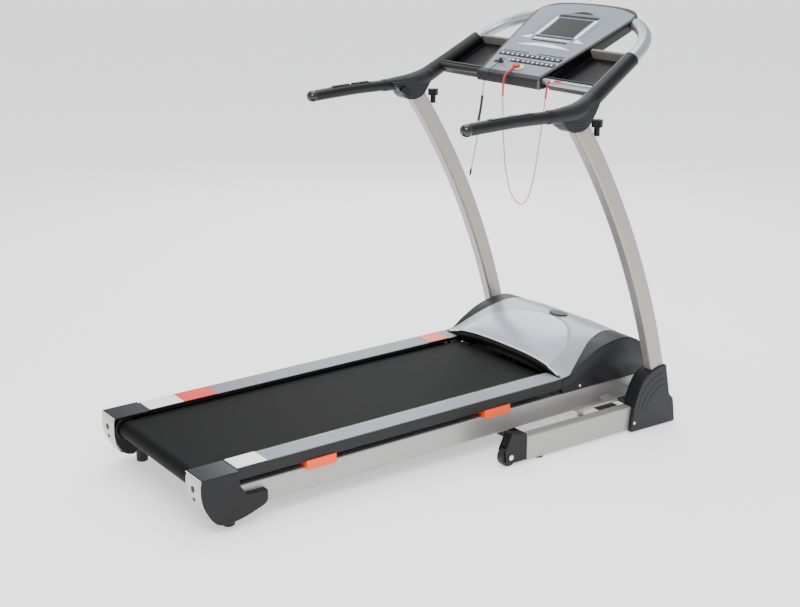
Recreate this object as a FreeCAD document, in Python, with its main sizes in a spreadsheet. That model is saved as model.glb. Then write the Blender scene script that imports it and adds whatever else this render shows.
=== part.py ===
"""A folding home treadmill, as separate pieces in one parametric document.

X runs across the deck, +Y forward to the console, +Z up, millimetres.  Every piece is drawn with its
Y as a station: the distance forward of the rear caps.  The pieces' placements then bring the origin
to the floor under the middle of the machine, and pitch the deck by its small resting slope.
"""
import FreeCAD, Part
import math
import os
import re
import Sketcher
from FreeCAD import Placement, Rotation, Vector

doc = FreeCAD.newDocument("treadmill")

# ---------------------------------------------------------------- driving dimensions
DIMENSIONS = {
    # whole machine
    "half_length": 818.8, "deck_pitch": 0.8, "foot_station": 96, "gap": 0.3, "clearance": 0.05,
    # base frame
    "arm_outer": 412, "arm_width": 38, "arm_low": 6, "arm_high": 84,
    "arm_rear": 1037, "arm_front": 1640, "tube_wall": 2.5, "tube_round": 4,
    "cross_front": 1612, "cross_mid": 1500, "cross_size": 30, "cross_rear": 1096, "cross_low": 8,
    "wheel_radius": 30, "wheel_width": 22, "wheel_station": 975, "wheel_axle": 5,
    "wheel_middle": 393, "fork_wall": 5,
    "bracket_station": 1288, "bracket_length": 26, "bracket_high": 103, "link_inner": 320,
    "foot_radius": 16, "foot_high": 6,
    # uprights: a rectangular tube bent to one long arc
    "upright_outer": 421, "upright_width": 40, "upright_depth": 55, "upright_round": 7,
    "bend_radius": 2469.6, "bend_station": -827.7, "bend_height": -400.8,
    "upright_from": 11.46, "upright_to": 34.7, "upright_wall": 3,
    # boots
    "boot_outer": 428, "boot_inner": 374.3, "boot_rear": 1457, "boot_front": 1652, "boot_high": 206,
    # deck frame, in the deck's own level frame
    "rail_outer": 300, "rail_width": 38, "rail_low": 50, "rail_high": 119,
    "rail_rear": 101, "rail_front": 1596,
    "foot_rail_outer": 308, "foot_rail_inner": 228, "foot_rail_low": 139, "foot_rail_high": 172,
    "foot_rail_rear": 112.5, "foot_rail_front": 1266, "foot_rail_wall": 11,
    "strip_outer": 302, "strip_inner": 233, "strip_deep": 3, "rib_width": 3, "rib_pitch": 9,
    "rib_high": 1, "rib_count": 7,
    "board_half": 290, "board_low": 139, "board_high": 157, "board_rear": 78, "board_front": 1214,
    "belt_half": 220, "belt_thick": 1.6, "roller_radius": 24.4, "roller_half": 223,
    "rear_roller": 34, "front_roller": 1258, "roller_height": 132.5,
    "roller_axle": 8, "roller_wall": 3, "plug_long": 14,
    "member_low": 60, "member_high": 100, "member_wide": 40,
    "cap_outer": 320, "cap_inner": 226, "cap_high": 171, "cap_front": 112, "wing_front": 197,
    "cushion_long": 97, "cushion_rear": 326, "cushion_front": 955, "cushion_low": 114,
    "cushion_high": 141, "cushion_outer": 313,
    # fold pivot, gas strut
    "pivot_station": 1570, "pivot_height": 100, "pivot_radius": 9,
    "strut_foot": 1500, "strut_foot_high": 50, "strut_eye": 1180,
    "strut_radius": 11, "rod_radius": 5, "strut_tube": 205,
    # hood and drive
    "hood_half": 250, "hood_outer": 310, "hood_wall": 3, "hood_rear": 1267, "hood_front": 1628,
    "pan_low": 50.4,
    "motor_station": 1420, "motor_height": 150, "motor_radius": 44, "motor_half": 85,
    "shaft_radius": 7, "flywheel_radius": 58, "flywheel_long": 24,
    "roller_pulley": 27.5, "motor_pulley": 11, "pulley_long": 12, "pulley_inner": 238.5,
    "drive_belt_thick": 2.5,
    # handlebars
    "bar_radius": 21, "core_radius": 12, "grip_radius": 18, "grip_rear": 782, "grip_front": 1104,
    "grip_rear_x": 397, "grip_front_x": 410, "grip_rear_z": 1028, "grip_front_z": 1041,
    "lobe_station": 1186, "lobe_height": 1043, "lobe_radius": 54, "lobe_inner": 374,
    "lobe_outer": 430, "sleeve_radius": 24, "sleeve_length": 322, "sleeve_start": 52,
    "console_tilt": 30, "tilt_station": 1186, "tilt_height": 1030,
    "knob_radius": 17, "knob_long": 16, "knob_station": 1279, "knob_height": 1000,
    # console, along and above the tilted plane of the handlebar
    "console_rear": 113, "console_low": -24, "face_above": 20,
    "face_rear_half": 147, "face_front_half": 229, "rim": 9,
    "tray_rear": 116, "tray_front": 300, "tray_deep": 24, "tray_wall": 4, "tray_outer": 338,
    "crossbar_high": 11,
    "display_half": 80, "display_rear": 316, "display_front": 408,
    "key_travel": 1.5, "safety_key_along": 154,
}
sheet = doc.addObject("Spreadsheet::Sheet", "Sizes")
for row, (alias, value) in enumerate(DIMENSIONS.items(), start=1):
    sheet.set(f"A{row}", alias)
    sheet.set(f"B{row}", str(value))
    sheet.setAlias(f"B{row}", alias)
doc.recompute()


def bound(formula):
    """A formula in the sheet's words, as an expression that reads the sheet's cells."""
    return re.sub(r"[a-z_]{3,}", lambda word: "Sizes." + word.group() if word.group() in DIMENSIONS
                  else word.group(), str(formula))


def size(formula):
    """The value that a formula in the sheet's words has now."""
    return float(sheet.evalExpression(bound(formula)))


def bind(item, **formulas):
    for name, formula in formulas.items():
        item.setExpression(name, bound(formula))


def settle(item, where):
    """Put a feature at (x, y, z), each a formula."""
    for axis, formula in zip("xyz", where):
        item.setExpression("Placement.Base." + axis, bound(formula))


# ---------------------------------------------------------------- pieces and their features
SUBPARTS = []


def body(label, zone="base"):
    """A new piece; pieces of the deck get its resting pitch, console pieces the handlebar's tilt."""
    piece = doc.addObject("PartDesign::Body", label)
    piece.Label = label
    shift = {"base": ("0", "-half_length", "0", "0"),
             "deck": ("0", "-half_length", "-foot_station * sin(deck_pitch)", "deck_pitch"),
             "console": ("0", "tilt_station - half_length", "tilt_height", "console_tilt")}[zone]
    piece.Placement = Placement(Vector(), Rotation(Vector(1, 0, 0), 1))
    settle(piece, shift[:3])
    piece.setExpression("Placement.Rotation.Angle", bound(shift[3]))
    SUBPARTS.append(piece)
    return piece


def box(piece, low, high, cut=False):
    """Add, or cut, the block between two corners, each three formulas."""
    kind = "Subtractive" if cut else "Additive"
    block = piece.newObject(f"PartDesign::{kind}Box", "block")
    bind(block, Length=f"({high[0]}) - ({low[0]})", Width=f"({high[1]}) - ({low[1]})",
         Height=f"({high[2]}) - ({low[2]})")
    settle(block, low)
    return block


TURNS = {"x": Rotation(Vector(0, 1, 0), 90), "y": Rotation(Vector(1, 0, 0), -90), "z": Rotation()}


def rod(piece, start, radius, length, along="x", cut=False):
    """Add, or cut, a cylinder from its start along one axis."""
    kind = "Subtractive" if cut else "Additive"
    post = piece.newObject(f"PartDesign::{kind}Cylinder", "rod")
    post.Placement = Placement(Vector(), TURNS[along] if isinstance(along, str) else along)
    bind(post, Radius=radius, Height=length)
    settle(post, start)
    return post


def arc_between(start, end, radius):
    """The arc that bulges to the right of start-end, or to the left for a radius below 0."""
    chord = end - start
    rise = math.sqrt(radius * radius - chord.Length ** 2 / 4)
    side = Vector(-chord.y, chord.x, 0) / chord.Length
    centre = (start + end) / 2 + side * math.copysign(rise, radius)
    first, last = (start, end) if radius > 0 else (end, start)
    turn = [math.atan2(spot.y - centre.y, spot.x - centre.x) for spot in (first, last)]
    if turn[1] < turn[0]:
        turn[1] += 2 * math.pi
    return Part.ArcOfCircle(Part.Circle(centre, Vector(0, 0, 1), abs(radius)), *turn)


def sketch(piece, plane, corners, offset="0"):
    """A closed outline; a corner is (u, v) or (u, v, radius of the arc to the next corner)."""
    drawing = piece.newObject("Sketcher::SketchObject", "outline")
    origin = [feature for feature in piece.Origin.OriginFeatures if feature.Role == plane][0]
    drawing.AttachmentSupport = [(origin, "")]
    drawing.MapMode = "FlatFace"
    drawing.setExpression("AttachmentOffset.Base.z", bound(offset))
    spots = [Vector(size(corner[0]), size(corner[1]), 0) for corner in corners]
    count = len(corners)
    for index, corner in enumerate(corners):
        start, end = spots[index], spots[(index + 1) % count]
        if len(corner) == 2:
            drawing.addGeometry(Part.LineSegment(start, end))
        else:
            drawing.addGeometry(arc_between(start, end, size(corner[2])))
    ends = [(2, 1) if len(corner) == 3 and size(corner[2]) < 0 else (1, 2) for corner in corners]
    for index, corner in enumerate(corners):
        after = (index + 1) % count
        drawing.addConstraint(Sketcher.Constraint("Coincident", index, ends[index][1],
                                                  after, ends[after][0]))
        for kind, formula, value in (("DistanceX", corner[0], spots[index].x),
                                     ("DistanceY", corner[1], spots[index].y)):
            number = drawing.addConstraint(Sketcher.Constraint(kind, -1, 1, index,
                                                               ends[index][0], value))
            drawing.setExpression(f"Constraints[{number}]", bound(formula))
        if len(corner) == 3:
            number = drawing.addConstraint(
                Sketcher.Constraint("Radius", index, drawing.Geometry[index].Radius))
            drawing.setExpression(f"Constraints[{number}]", bound(f"abs({corner[2]})"))
    return drawing


def pad(piece, plane, corners, length, offset="0", cut=False):
    """Raise, or cut, an outline along its plane's normal; a cut goes both ways by half."""
    drawing = sketch(piece, plane, corners, offset)
    kind = "Pocket" if cut else "Pad"
    raised = piece.newObject("PartDesign::" + kind, kind.lower())
    raised.Profile = drawing
    bind(raised, Length=length)
    raised.Reversed = cut
    return raised


def revolve(piece, plane, corners, axis, angle=360, cut=False):
    """Turn an outline about one of its sketch's axes."""
    drawing = sketch(piece, plane, corners)
    kind = "Groove" if cut else "Revolution"
    turned = piece.newObject("PartDesign::" + kind, kind.lower())
    turned.Profile = drawing
    turned.ReferenceAxis = (drawing, [axis])
    if isinstance(angle, str):
        bind(turned, Angle=angle)
    else:
        turned.Angle = angle
    return turned


def round_edges(piece, radius, chosen):
    """Fillet the edges of the piece so far that the chosen() test picks."""
    doc.recompute()
    base = piece.Tip
    names = [f"Edge{number}" for number, edge in enumerate(base.Shape.Edges, start=1) if chosen(edge)]
    rounded = piece.newObject("PartDesign::Fillet", "rounding")
    rounded.Base = (base, names)
    bind(rounded, Radius=radius)
    return rounded


def runs_along(axis, longer_than):
    """A test for straight edges along an axis that are longer than a length."""
    def test(edge):
        if edge.Curve.TypeId != "Part::GeomLine" or edge.Length < longer_than:
            return False
        return abs(abs(edge.Curve.Direction.dot(axis)) - 1) < 1e-6
    return test


X, Y, Z = Vector(1, 0, 0), Vector(0, 1, 0), Vector(0, 0, 1)
SIDES = (("left", -1), ("right", 1))


def across(side, inner, outer):
    """The lower and higher X of a span between two distances from the middle, on one side."""
    return (f"-({outer})", f"-({inner})") if side < 0 else (inner, outer)


# ---------------------------------------------------------------- base frame
def base_arm(name, side):
    piece = body("base_arm_" + name)
    low, high = across(side, "arm_outer - arm_width", "arm_outer")
    box(piece, (low, "arm_rear", "arm_low"), (high, "arm_front", "arm_high"))
    round_edges(piece, "tube_round", runs_along(Y, 500))
    box(piece, (low + " + tube_wall", "arm_rear - 1", "arm_low + tube_wall"),
        (high + " - tube_wall", "arm_front + 1", "arm_high - tube_wall"), cut=True)


def base_cross_tubes():
    piece = body("base_cross_tubes")
    reach = "arm_outer - arm_width - gap"
    for station in ("cross_rear", "cross_mid", "cross_front"):
        box(piece, ("-(" + reach + ")", station, "cross_low"),
            (reach, station + " + cross_size", "cross_low + cross_size"))
    strut_x = "strut_radius + clearance + 2"
    for start, end in ((f"-({strut_x}) - 5", f"-({strut_x})"), (strut_x, f"{strut_x} + 5")):
        box(piece, (start, "strut_foot - 11", "cross_low"),
            (end, "strut_foot + 11", "strut_foot_high + 11"))


def arm_brackets():
    """A folded plate on the inner side of each arm, its bolt, and the flat link that runs forward."""
    piece = body("arm_brackets")
    for _, side in SIDES:
        low, high = across(side, "arm_outer - arm_width - 4 - gap", "arm_outer - arm_width - gap")
        box(piece, (low, "bracket_station - bracket_length / 2", "arm_low + 20"),
            (high, "bracket_station + bracket_length / 2", "bracket_high"))
        start = "-(arm_outer - arm_width + 10)" if side < 0 else "arm_outer - arm_width - 9"
        rod(piece, (start, "bracket_station", "arm_high + 10"), "5.5", "19")
        low, high = across(side, "link_inner", "arm_outer - arm_width - 4 - gap")
        box(piece, (low, "bracket_station + 130", "bracket_high - 8"),
            (high, "bracket_station + 160", "bracket_high"))
        low, high = across(side, "arm_outer - arm_width - 22", "arm_outer - arm_width - 4 - gap")
        box(piece, (low, "bracket_station - bracket_length / 2", "bracket_high - 8"),
            (high, "bracket_station + 160", "bracket_high"))


def upright(name, side):
    """A rectangular tube on a long arc; its outline turns about the arc's centre."""
    piece = body("upright_" + name)
    piece.Placement = Placement(Vector(), Rotation(Vector(1, 0, 0), 1))
    settle(piece, ("0", "bend_station - half_length", "bend_height"))
    piece.setExpression("Placement.Rotation.Angle", bound("upright_from"))
    low, high = across(side, "upright_outer - upright_width", "upright_outer")
    near, far = "bend_radius - upright_depth / 2", "bend_radius + upright_depth / 2"
    revolve(piece, "XY_Plane", ((low, near), (high, near), (high, far), (low, far)),
            "H_Axis", "upright_to - upright_from")
    round_edges(piece, "upright_round",
                lambda edge: edge.Curve.TypeId == "Part::GeomCircle" and edge.Length > 500)
    inset = [(low + " + upright_wall", near + " + upright_wall"),
             (high + " - upright_wall", near + " + upright_wall"),
             (high + " - upright_wall", far + " - upright_wall"),
             (low + " + upright_wall", far + " - upright_wall")]
    revolve(piece, "XY_Plane", inset, "H_Axis", "upright_to - upright_from", cut=True)


def boot(name, side):
    """The plastic foot cover that the upright stands in, with the arm's end inside it."""
    piece = body("boot_" + name)
    low, high = across(side, "boot_inner", "boot_outer")
    pad(piece, "YZ_Plane",
        (("boot_rear", "0.5"), ("boot_front", "0.5"), ("boot_front - 13", "82"),
         ("boot_front - 26", "100"), ("boot_front - 53", "boot_high"),
         ("boot_rear + 52", "boot_high - 24", "-260"), ("boot_rear + 8", "78")),
        "boot_outer - boot_inner", low)
    inner, outer = across(side, "boot_inner - 1", "arm_outer + gap")
    box(piece, (inner, "boot_rear - 5", "-1"), (outer, "arm_front + gap", "arm_high + gap"), cut=True)
    inner, outer = across(side, "upright_outer - upright_width - gap", "upright_outer + gap")
    floor_y = "sqrt(bend_radius * bend_radius - bend_height * bend_height) + bend_station"
    box(piece, (inner, floor_y + " - 73", "arm_high - 1"),
        (outer, floor_y + " + 12", "boot_high + 5"), cut=True)
    inner, _ = across(side, "boot_inner - 1", "boot_inner + 8")
    rod(piece, (inner, "pivot_station", "pivot_height"), "pivot_radius + gap", "9", cut=True)


def wheel_forks():
    """The plastic end of each arm: a plug in the tube and two cheeks that hold the wheel."""
    piece = body("wheel_forks")
    for _, side in SIDES:
        low, high = across(side, "wheel_middle - wheel_width / 2 - 1 - fork_wall",
                           "wheel_middle + wheel_width / 2 + 1 + fork_wall")
        outline = (("wheel_station - 17", "16"), ("wheel_station + 20", "9"), ("arm_rear - 0.3", "9"),
                   ("arm_rear - 0.3", "arm_high + 8"), ("wheel_station + 4", "arm_high + 18"),
                   ("wheel_station - 20", "52"))
        pad(piece, "YZ_Plane", outline, "wheel_width + 2 + 2 * fork_wall", low)
        box(piece, (low + " + fork_wall", "wheel_station - 60", "-20"),
            (high + " - fork_wall", "wheel_station + wheel_radius + 3", "wheel_radius * 2 + 4"),
            cut=True)
        rod(piece, (low + " - 1", "wheel_station", "wheel_radius"), "wheel_axle",
            "wheel_width + 40", cut=True)
        plug_low, plug_high = across(side, "arm_outer - arm_width + tube_wall + gap",
                                     "arm_outer - tube_wall - gap")
        box(piece, (plug_low, "arm_rear - 1", "arm_low + tube_wall + gap"),
            (plug_high, "arm_rear + 25", "arm_high - tube_wall - gap"))


def transport_wheel(name, side):
    piece = body("transport_wheel_" + name)
    middle = "wheel_middle" if side > 0 else "-wheel_middle"
    rod(piece, (middle + " - wheel_width / 2", "wheel_station", "wheel_radius"),
        "wheel_radius", "wheel_width")
    rod(piece, (middle + " - wheel_width / 2 - 1", "wheel_station", "wheel_radius"),
        "wheel_axle + clearance", "wheel_width + 2", cut=True)


def frame_bolts():
    """The transport wheels' axle bolts, and the shoulder bolts that the deck folds on."""
    piece = body("frame_bolts")
    for _, side in SIDES:
        low = "-wheel_middle" if side < 0 else "wheel_middle"
        half = "wheel_width / 2 + 1 + fork_wall"
        rod(piece, (f"{low} - ({half})", "wheel_station", "wheel_radius"), "wheel_axle",
            f"2 * ({half})")
        for end in (f"{low} - ({half}) - 4", f"{low} + {half}"):
            rod(piece, (end, "wheel_station", "wheel_radius"), "wheel_axle + 3", "4")
        low, _ = across(side, "rail_outer - 30", "upright_outer - upright_width")
        rod(piece, (low, "pivot_station", "pivot_height"), "pivot_radius",
            "upright_outer - upright_width - rail_outer + 30")


def base_feet():
    piece = body("base_feet")
    for _, side in SIDES:
        middle = "-(arm_outer - arm_width / 2)" if side < 0 else "arm_outer - arm_width / 2"
        for station in ("arm_rear + 60", "arm_front - 60"):
            rod(piece, (middle, station, "0"), "foot_radius", "foot_high - 0.05", "z")


def gas_strut():
    """A cylinder pinned to the middle cross tube, and its rod up to the deck."""
    line = Rotation(Vector(1, 0, 0), 90)
    foot = ("0", "strut_foot", "strut_foot_high")
    tube = body("gas_strut_tube")
    rod(tube, foot, "strut_radius", "strut_tube", line)
    rod(tube, foot, "rod_radius + clearance", "strut_tube + 1", line, cut=True)
    rod(tube, ("-strut_radius - 2", foot[1], foot[2]), "strut_radius - 1", "2 * strut_radius + 4")
    inner = body("gas_strut_rod")
    rod(inner, (foot[0], "strut_foot - strut_radius - 20", "strut_foot_high"), "rod_radius",
        "strut_foot - strut_eye - strut_radius - 28", line)
    rod(inner, ("-9", "strut_eye", "strut_foot_high"), "9", "18")


# ---------------------------------------------------------------- deck
def side_rail(name, side):
    piece = body("side_rail_" + name, "deck")
    low, high = across(side, "rail_outer - rail_width", "rail_outer")
    box(piece, (low, "rail_rear", "rail_low"), (high, "rail_front", "rail_high"))
    round_edges(piece, "tube_round", runs_along(Y, 500))
    box(piece, (low + " + tube_wall", "rail_rear - 1", "rail_low + tube_wall"),
        (high + " - tube_wall", "rail_front + 1", "rail_high - tube_wall"), cut=True)
    lifted = "(pivot_height + foot_station * sin(deck_pitch))"
    station = f"pivot_station * cos(deck_pitch) + {lifted} * sin(deck_pitch)"
    level = f"{lifted} * cos(deck_pitch) - pivot_station * sin(deck_pitch)"
    rod(piece, (low + " - 1", station, level),
        "pivot_radius + clearance + 0.02", "rail_width + 2", cut=True)


def deck_crossmembers():
    piece = body("deck_crossmembers", "deck")
    reach = "rail_outer - rail_width - gap"
    for station in ("240", "700", "strut_eye - member_wide / 2"):
        box(piece, ("-(" + reach + ")", station, "member_low"),
            (reach, station + " + member_wide", "member_high"))


def deck_board():
    piece = body("deck_board", "deck")
    box(piece, ("-board_half", "board_rear", "board_low"), ("board_half", "board_front", "board_high"))


def running_belt():
    """A closed band round both rollers: the outer loop less the inner one."""
    piece = body("running_belt", "deck")
    for inset, cut in (("0", False), ("belt_thick", True)):
        outer = f"roller_radius + gap + belt_thick - {inset}"
        top, bottom = f"roller_height + {outer}", f"roller_height - ({outer})"
        middle = "roller_height"
        pad(piece, "YZ_Plane",
            (("rear_roller", bottom), ("front_roller", bottom, outer),
             (f"front_roller + {outer}", middle, outer), ("front_roller", top),
             ("rear_roller", top, outer), (f"rear_roller - ({outer})", middle, outer)),
            "2 * belt_half + 2" if cut else "2 * belt_half",
            "-belt_half - 1" if cut else "-belt_half", cut)


def roller(name, station):
    """A steel tube with an end plug each side, bored for the fixed axle."""
    piece = body(name, "deck")
    rod(piece, ("-roller_half", station, "roller_height"), "roller_radius", "2 * roller_half")
    rod(piece, ("-(roller_half - plug_long)", station, "roller_height"),
        "roller_radius - roller_wall", "2 * (roller_half - plug_long)", cut=True)
    rod(piece, ("-roller_half - 1", station, "roller_height"), "roller_axle + clearance",
        "2 * roller_half + 2", cut=True)
    if name == "front_roller":
        low = "-pulley_inner - pulley_long"
        rod(piece, (low, station, "roller_height"), "roller_pulley - drive_belt_thick", "pulley_long")
        rod(piece, (low + " + pulley_long", station, "roller_height"), "roller_radius - 4",
            "pulley_inner - roller_half")
        rod(piece, (low + " - 1", station, "roller_height"), "roller_axle + clearance", "30", cut=True)


def roller_axles():
    piece = body("roller_axles", "deck")
    reach = "rail_outer - rail_width - gap"
    rod(piece, ("-(" + reach + ")", "front_roller", "roller_height"), "roller_axle", f"2 * ({reach})")
    reach = "cap_inner + 40"
    rod(piece, ("-(" + reach + ")", "rear_roller", "roller_height"), "roller_axle", f"2 * ({reach})")


def foot_rail(name, side):
    """The black edge rail: a top plate that covers the belt's edge, and an outer wall."""
    piece = body("foot_rail_" + name, "deck")
    low, high = across(side, "foot_rail_inner", "foot_rail_outer")
    box(piece, (low, "foot_rail_rear", "foot_rail_high - foot_rail_wall"),
        (high, "foot_rail_front", "foot_rail_high"))
    low, high = across(side, "foot_rail_outer - foot_rail_wall", "foot_rail_outer")
    box(piece, (low, "foot_rail_rear", "foot_rail_low"),
        (high, "foot_rail_front", "foot_rail_high - foot_rail_wall + 1"))
    low, high = across(side, "strip_inner - gap", "strip_outer + gap")
    box(piece, (low, "foot_rail_rear - 1", "foot_rail_high - strip_deep"),
        (high, "foot_rail_front + 1", "foot_rail_high + 1"), cut=True)


def grip_strips():
    """The silver tread strips, each with its row of low ribs."""
    piece = body("grip_strips", "deck")
    for _, side in SIDES:
        low, high = across(side, "strip_inner", "strip_outer")
        box(piece, (low, "foot_rail_rear", "foot_rail_high - strip_deep"),
            (high, "foot_rail_front", "foot_rail_high"))
        for number in range(int(size("rib_count"))):
            start = f"{low} + 6 + {number} * rib_pitch"
            box(piece, (start, "foot_rail_rear", "foot_rail_high - 1"),
                (start + " + rib_width", "foot_rail_front", "foot_rail_high + rib_high"))


def rear_cap(name, side):
    """The moulded end of the edge rail; its foot is what the deck stands on."""
    piece = body("rear_cap_" + name, "deck")
    low, high = across(side, "cap_inner", "cap_outer")
    pad(piece, "YZ_Plane",
        (("2", "cap_high"), ("-3", "128", "190"), ("46", "27", "110"), ("62", "33"), ("120", "45"),
         ("wing_front - 4", "61"), ("wing_front", "96"), ("cap_front + 20", "98"),
         ("cap_front", "124"), ("cap_front", "cap_high")),
        "cap_outer - cap_inner", low)
    rod(piece, (f"{side * 273}", "foot_station", "0.26"), "18", "48", "z")
    inner, outer = across(side, "rail_outer - rail_width - gap", "rail_outer + gap")
    box(piece, (inner, "rail_rear - gap", "rail_low - gap"),
        (outer, "wing_front + 5", "rail_high + 30"), cut=True)
    inner, outer = across(side, "cap_inner - 5", "board_half + 1")
    box(piece, (inner, "board_rear - 2", "board_low - 1"),
        (outer, "cap_front + 5", "board_high + 1"), cut=True)
    rod(piece, (across(side, "cap_inner - 5", "cap_inner + 41")[0], "rear_roller", "roller_height"),
        "roller_axle + gap", "46", cut=True)


def end_plates():
    """The silver fin on the back of each cap, with the belt adjuster's hole."""
    piece = body("end_plates", "deck")
    for _, side in SIDES:
        low, high = across(side, "cap_inner + 8", "cap_outer - 8")
        pad(piece, "YZ_Plane",
            (("-1.5", "cap_high - 3"), ("-6.5", "128", "192"), ("41", "27"), ("43.5", "29", "-192"),
             ("-3.3", "128", "-192"), ("1.6", "cap_high - 3")), "cap_outer - cap_inner - 16", low)


def adjuster_bolts():
    piece = body("adjuster_bolts", "deck")
    for _, side in SIDES:
        middle = "-(cap_inner + cap_outer) / 2" if side < 0 else "(cap_inner + cap_outer) / 2"
        rod(piece, (middle, "-13", "roller_height"), "6", "9", "y")


def deck_cushions():
    """Four elastomer blocks: each has a pad under the board, a neck and an outer lip."""
    piece = body("deck_cushions", "deck")
    for _, side in SIDES:
        for station in ("cushion_rear", "cushion_front"):
            for inner, outer, low, high in (
                    ("rail_outer - 34", "foot_rail_outer - foot_rail_wall - gap", "rail_high + gap",
                     "board_low - gap"),
                    ("foot_rail_outer - foot_rail_wall - 1", "foot_rail_outer + 1", "rail_high + gap",
                     "foot_rail_low - gap"),
                    ("foot_rail_outer + gap", "cushion_outer", "cushion_low", "cushion_high")):
                start, end = across(side, inner, outer)
                box(piece, (start, station, low), (end, station + " + cushion_long", high))


# ---------------------------------------------------------------- hood and drive
def hood_outline(inset):
    """The hood's side outline, moved inwards by an inset at its top and its two ends."""
    front, rear = f"- {inset}", f"+ {inset}"
    return (("hood_front " + front, "128"), ("hood_front + 4 " + front, "195", "170"),
            ("1560", "255 " + front, "420"), ("1440", "261 " + front, "330"),
            ("hood_rear + 14 " + rear, "209 " + front), ("hood_rear - 2 " + rear, "181 " + front),
            ("hood_rear - 2 " + rear, "128"))


def hood_cover():
    piece = body("hood_cover", "deck")
    pad(piece, "YZ_Plane", hood_outline("0"), "2 * hood_half", "-hood_half")
    pad(piece, "YZ_Plane", hood_outline("hood_wall"), "2 * hood_half + 2", "-hood_half - 1", True)
    box(piece, ("-hood_half - 1", "hood_rear - 9", "120"),
        ("hood_half + 1", "hood_rear + 40", "foot_rail_high + 3"), cut=True)
    box(piece, ("-hood_half - 1", "hood_front - 30", "120"),
        ("hood_half + 1", "hood_front + 30", "131"), cut=True)


def hood_side(name, side):
    """The dark shell at one side of the hood, open underneath over the rail."""
    piece = body("hood_side_" + name, "deck")
    low, high = across(side, "hood_half + gap", "hood_outer")
    pad(piece, "YZ_Plane", hood_outline("4"), "hood_outer - hood_half - gap", low)
    inner_low = low if side > 0 else low + " + hood_wall"
    pad(piece, "YZ_Plane", hood_outline("4 + hood_wall"), "hood_outer - hood_half - gap - hood_wall",
        inner_low + (" - 0.1" if side > 0 else " + 0.1"), True)
    box(piece, (low + " - 1", "hood_rear - 9", "100"),
        (high + " + 1", "hood_rear + 12", "foot_rail_high + 1"), cut=True)


def motor_pan():
    piece = body("motor_pan", "deck")
    reach = "rail_outer - rail_width - gap"
    box(piece, ("-(" + reach + ")", "1312", "pan_low"), (reach, "rail_front", "pan_low + 2"))
    for station in ("1312", "rail_front - 2"):
        box(piece, ("-(" + reach + ")", station, "pan_low"), (reach, station + " + 2", "pan_low + 40"))


def drive_motor():
    """The motor's can with its feet on the pan and a bore for the shaft."""
    piece = body("drive_motor", "deck")
    rod(piece, ("-motor_half", "motor_station", "motor_height"), "motor_radius", "2 * motor_half")
    box(piece, ("-motor_half + 20", "motor_station - 30", "pan_low + 2"),
        ("motor_half - 20", "motor_station + 30", "motor_height - motor_radius + 8"))
    rod(piece, ("-motor_half - 1", "motor_station", "motor_height"), "shaft_radius + clearance",
        "2 * motor_half + 2", cut=True)


def motor_flywheel():
    """The shaft through the motor, its flywheel and the small ribbed pulley."""
    piece = body("motor_flywheel", "deck")
    middle = ("motor_station", "motor_height")
    rod(piece, ("-pulley_inner - pulley_long", *middle), "shaft_radius",
        "pulley_inner + pulley_long + motor_half + 4")
    rod(piece, ("-pulley_inner - pulley_long", *middle), "motor_pulley - drive_belt_thick",
        "pulley_long")
    rod(piece, ("-motor_half - 10 - flywheel_long", *middle), "flywheel_radius", "flywheel_long")


def drive_belt():
    """The ribbed belt from the motor's pulley to the roller's."""
    piece = body("drive_belt", "deck")
    small, large = size("motor_pulley"), size("roller_pulley")
    run = math.hypot(size("motor_station - front_roller"), size("motor_height - roller_height"))
    lean = math.atan2(size("motor_height - roller_height"), size("motor_station - front_roller"))
    spread = math.acos((large - small) / run)
    for trim, cut in ((0, False), (size("drive_belt_thick - gap"), True)):
        ends = []
        for station, height, radius in (("front_roller", "roller_height", large - trim),
                                        ("motor_station", "motor_height", small - trim)):
            for turn in (spread, -spread):
                ends.append((f"{station} + {radius * math.cos(lean + turn):.5f}",
                             f"{height} + {radius * math.sin(lean + turn):.5f}"))
        big_top, big_bottom, small_top, small_bottom = ends
        back = (f"front_roller - {(large - trim) * math.cos(lean):.5f}",
                f"roller_height - {(large - trim) * math.sin(lean):.5f}", str(large - trim))
        nose = (f"motor_station + {(small - trim) * math.cos(lean):.5f}",
                f"motor_height + {(small - trim) * math.sin(lean):.5f}", str(small - trim))
        pad(piece, "YZ_Plane",
            (big_bottom, (*small_bottom, str(small - trim)), nose, small_top,
             (*big_top, str(large - trim)), back),
            "pulley_long" if cut else "pulley_long - 1",
            "-pulley_inner - pulley_long" if cut else "-pulley_inner - pulley_long + 0.5", cut)


def control_board():
    """The motor controller: a board on stand-offs with its finned heat sink."""
    piece = body("control_board", "deck")
    box(piece, ("20", "1500", "pan_low + 8"), ("190", "1585", "pan_low + 10"))
    for x in ("24", "180"):
        for y in ("1506", "1578"):
            rod(piece, (x, y, "pan_low + 2"), "3", "6.5", "z")
    for number in range(8):
        start = f"{40 + 16 * number}"
        box(piece, (start, "1530", "pan_low + 9"), (start + " + 3", "1580", "pan_low + 40"))


def power_inlet():
    """The mains inlet's flange and socket in the pan's front wall."""
    piece = body("power_inlet", "deck")
    box(piece, ("-190", "rail_front + gap", "pan_low + 6"),
        ("-120", "rail_front + 3", "pan_low + 38"))
    box(piece, ("-186", "rail_front - 25", "pan_low + 10"),
        ("-154", "rail_front - 2 - gap", "pan_low + 34"))
    box(piece, ("-144", "rail_front - 1", "pan_low + 12"),
        ("-128", "rail_front + 4", "pan_low + 32"), cut=True)


def power_switch():
    piece = body("power_switch", "deck")
    box(piece, ("-143.5", "rail_front + 1.6", "pan_low + 12.5"),
        ("-128.5", "rail_front + 5.5", "pan_low + 31.5"))


# ---------------------------------------------------------------- bent tubes and cords
def point(*formulas):
    return Vector(*(size(formula) for formula in formulas))


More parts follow.
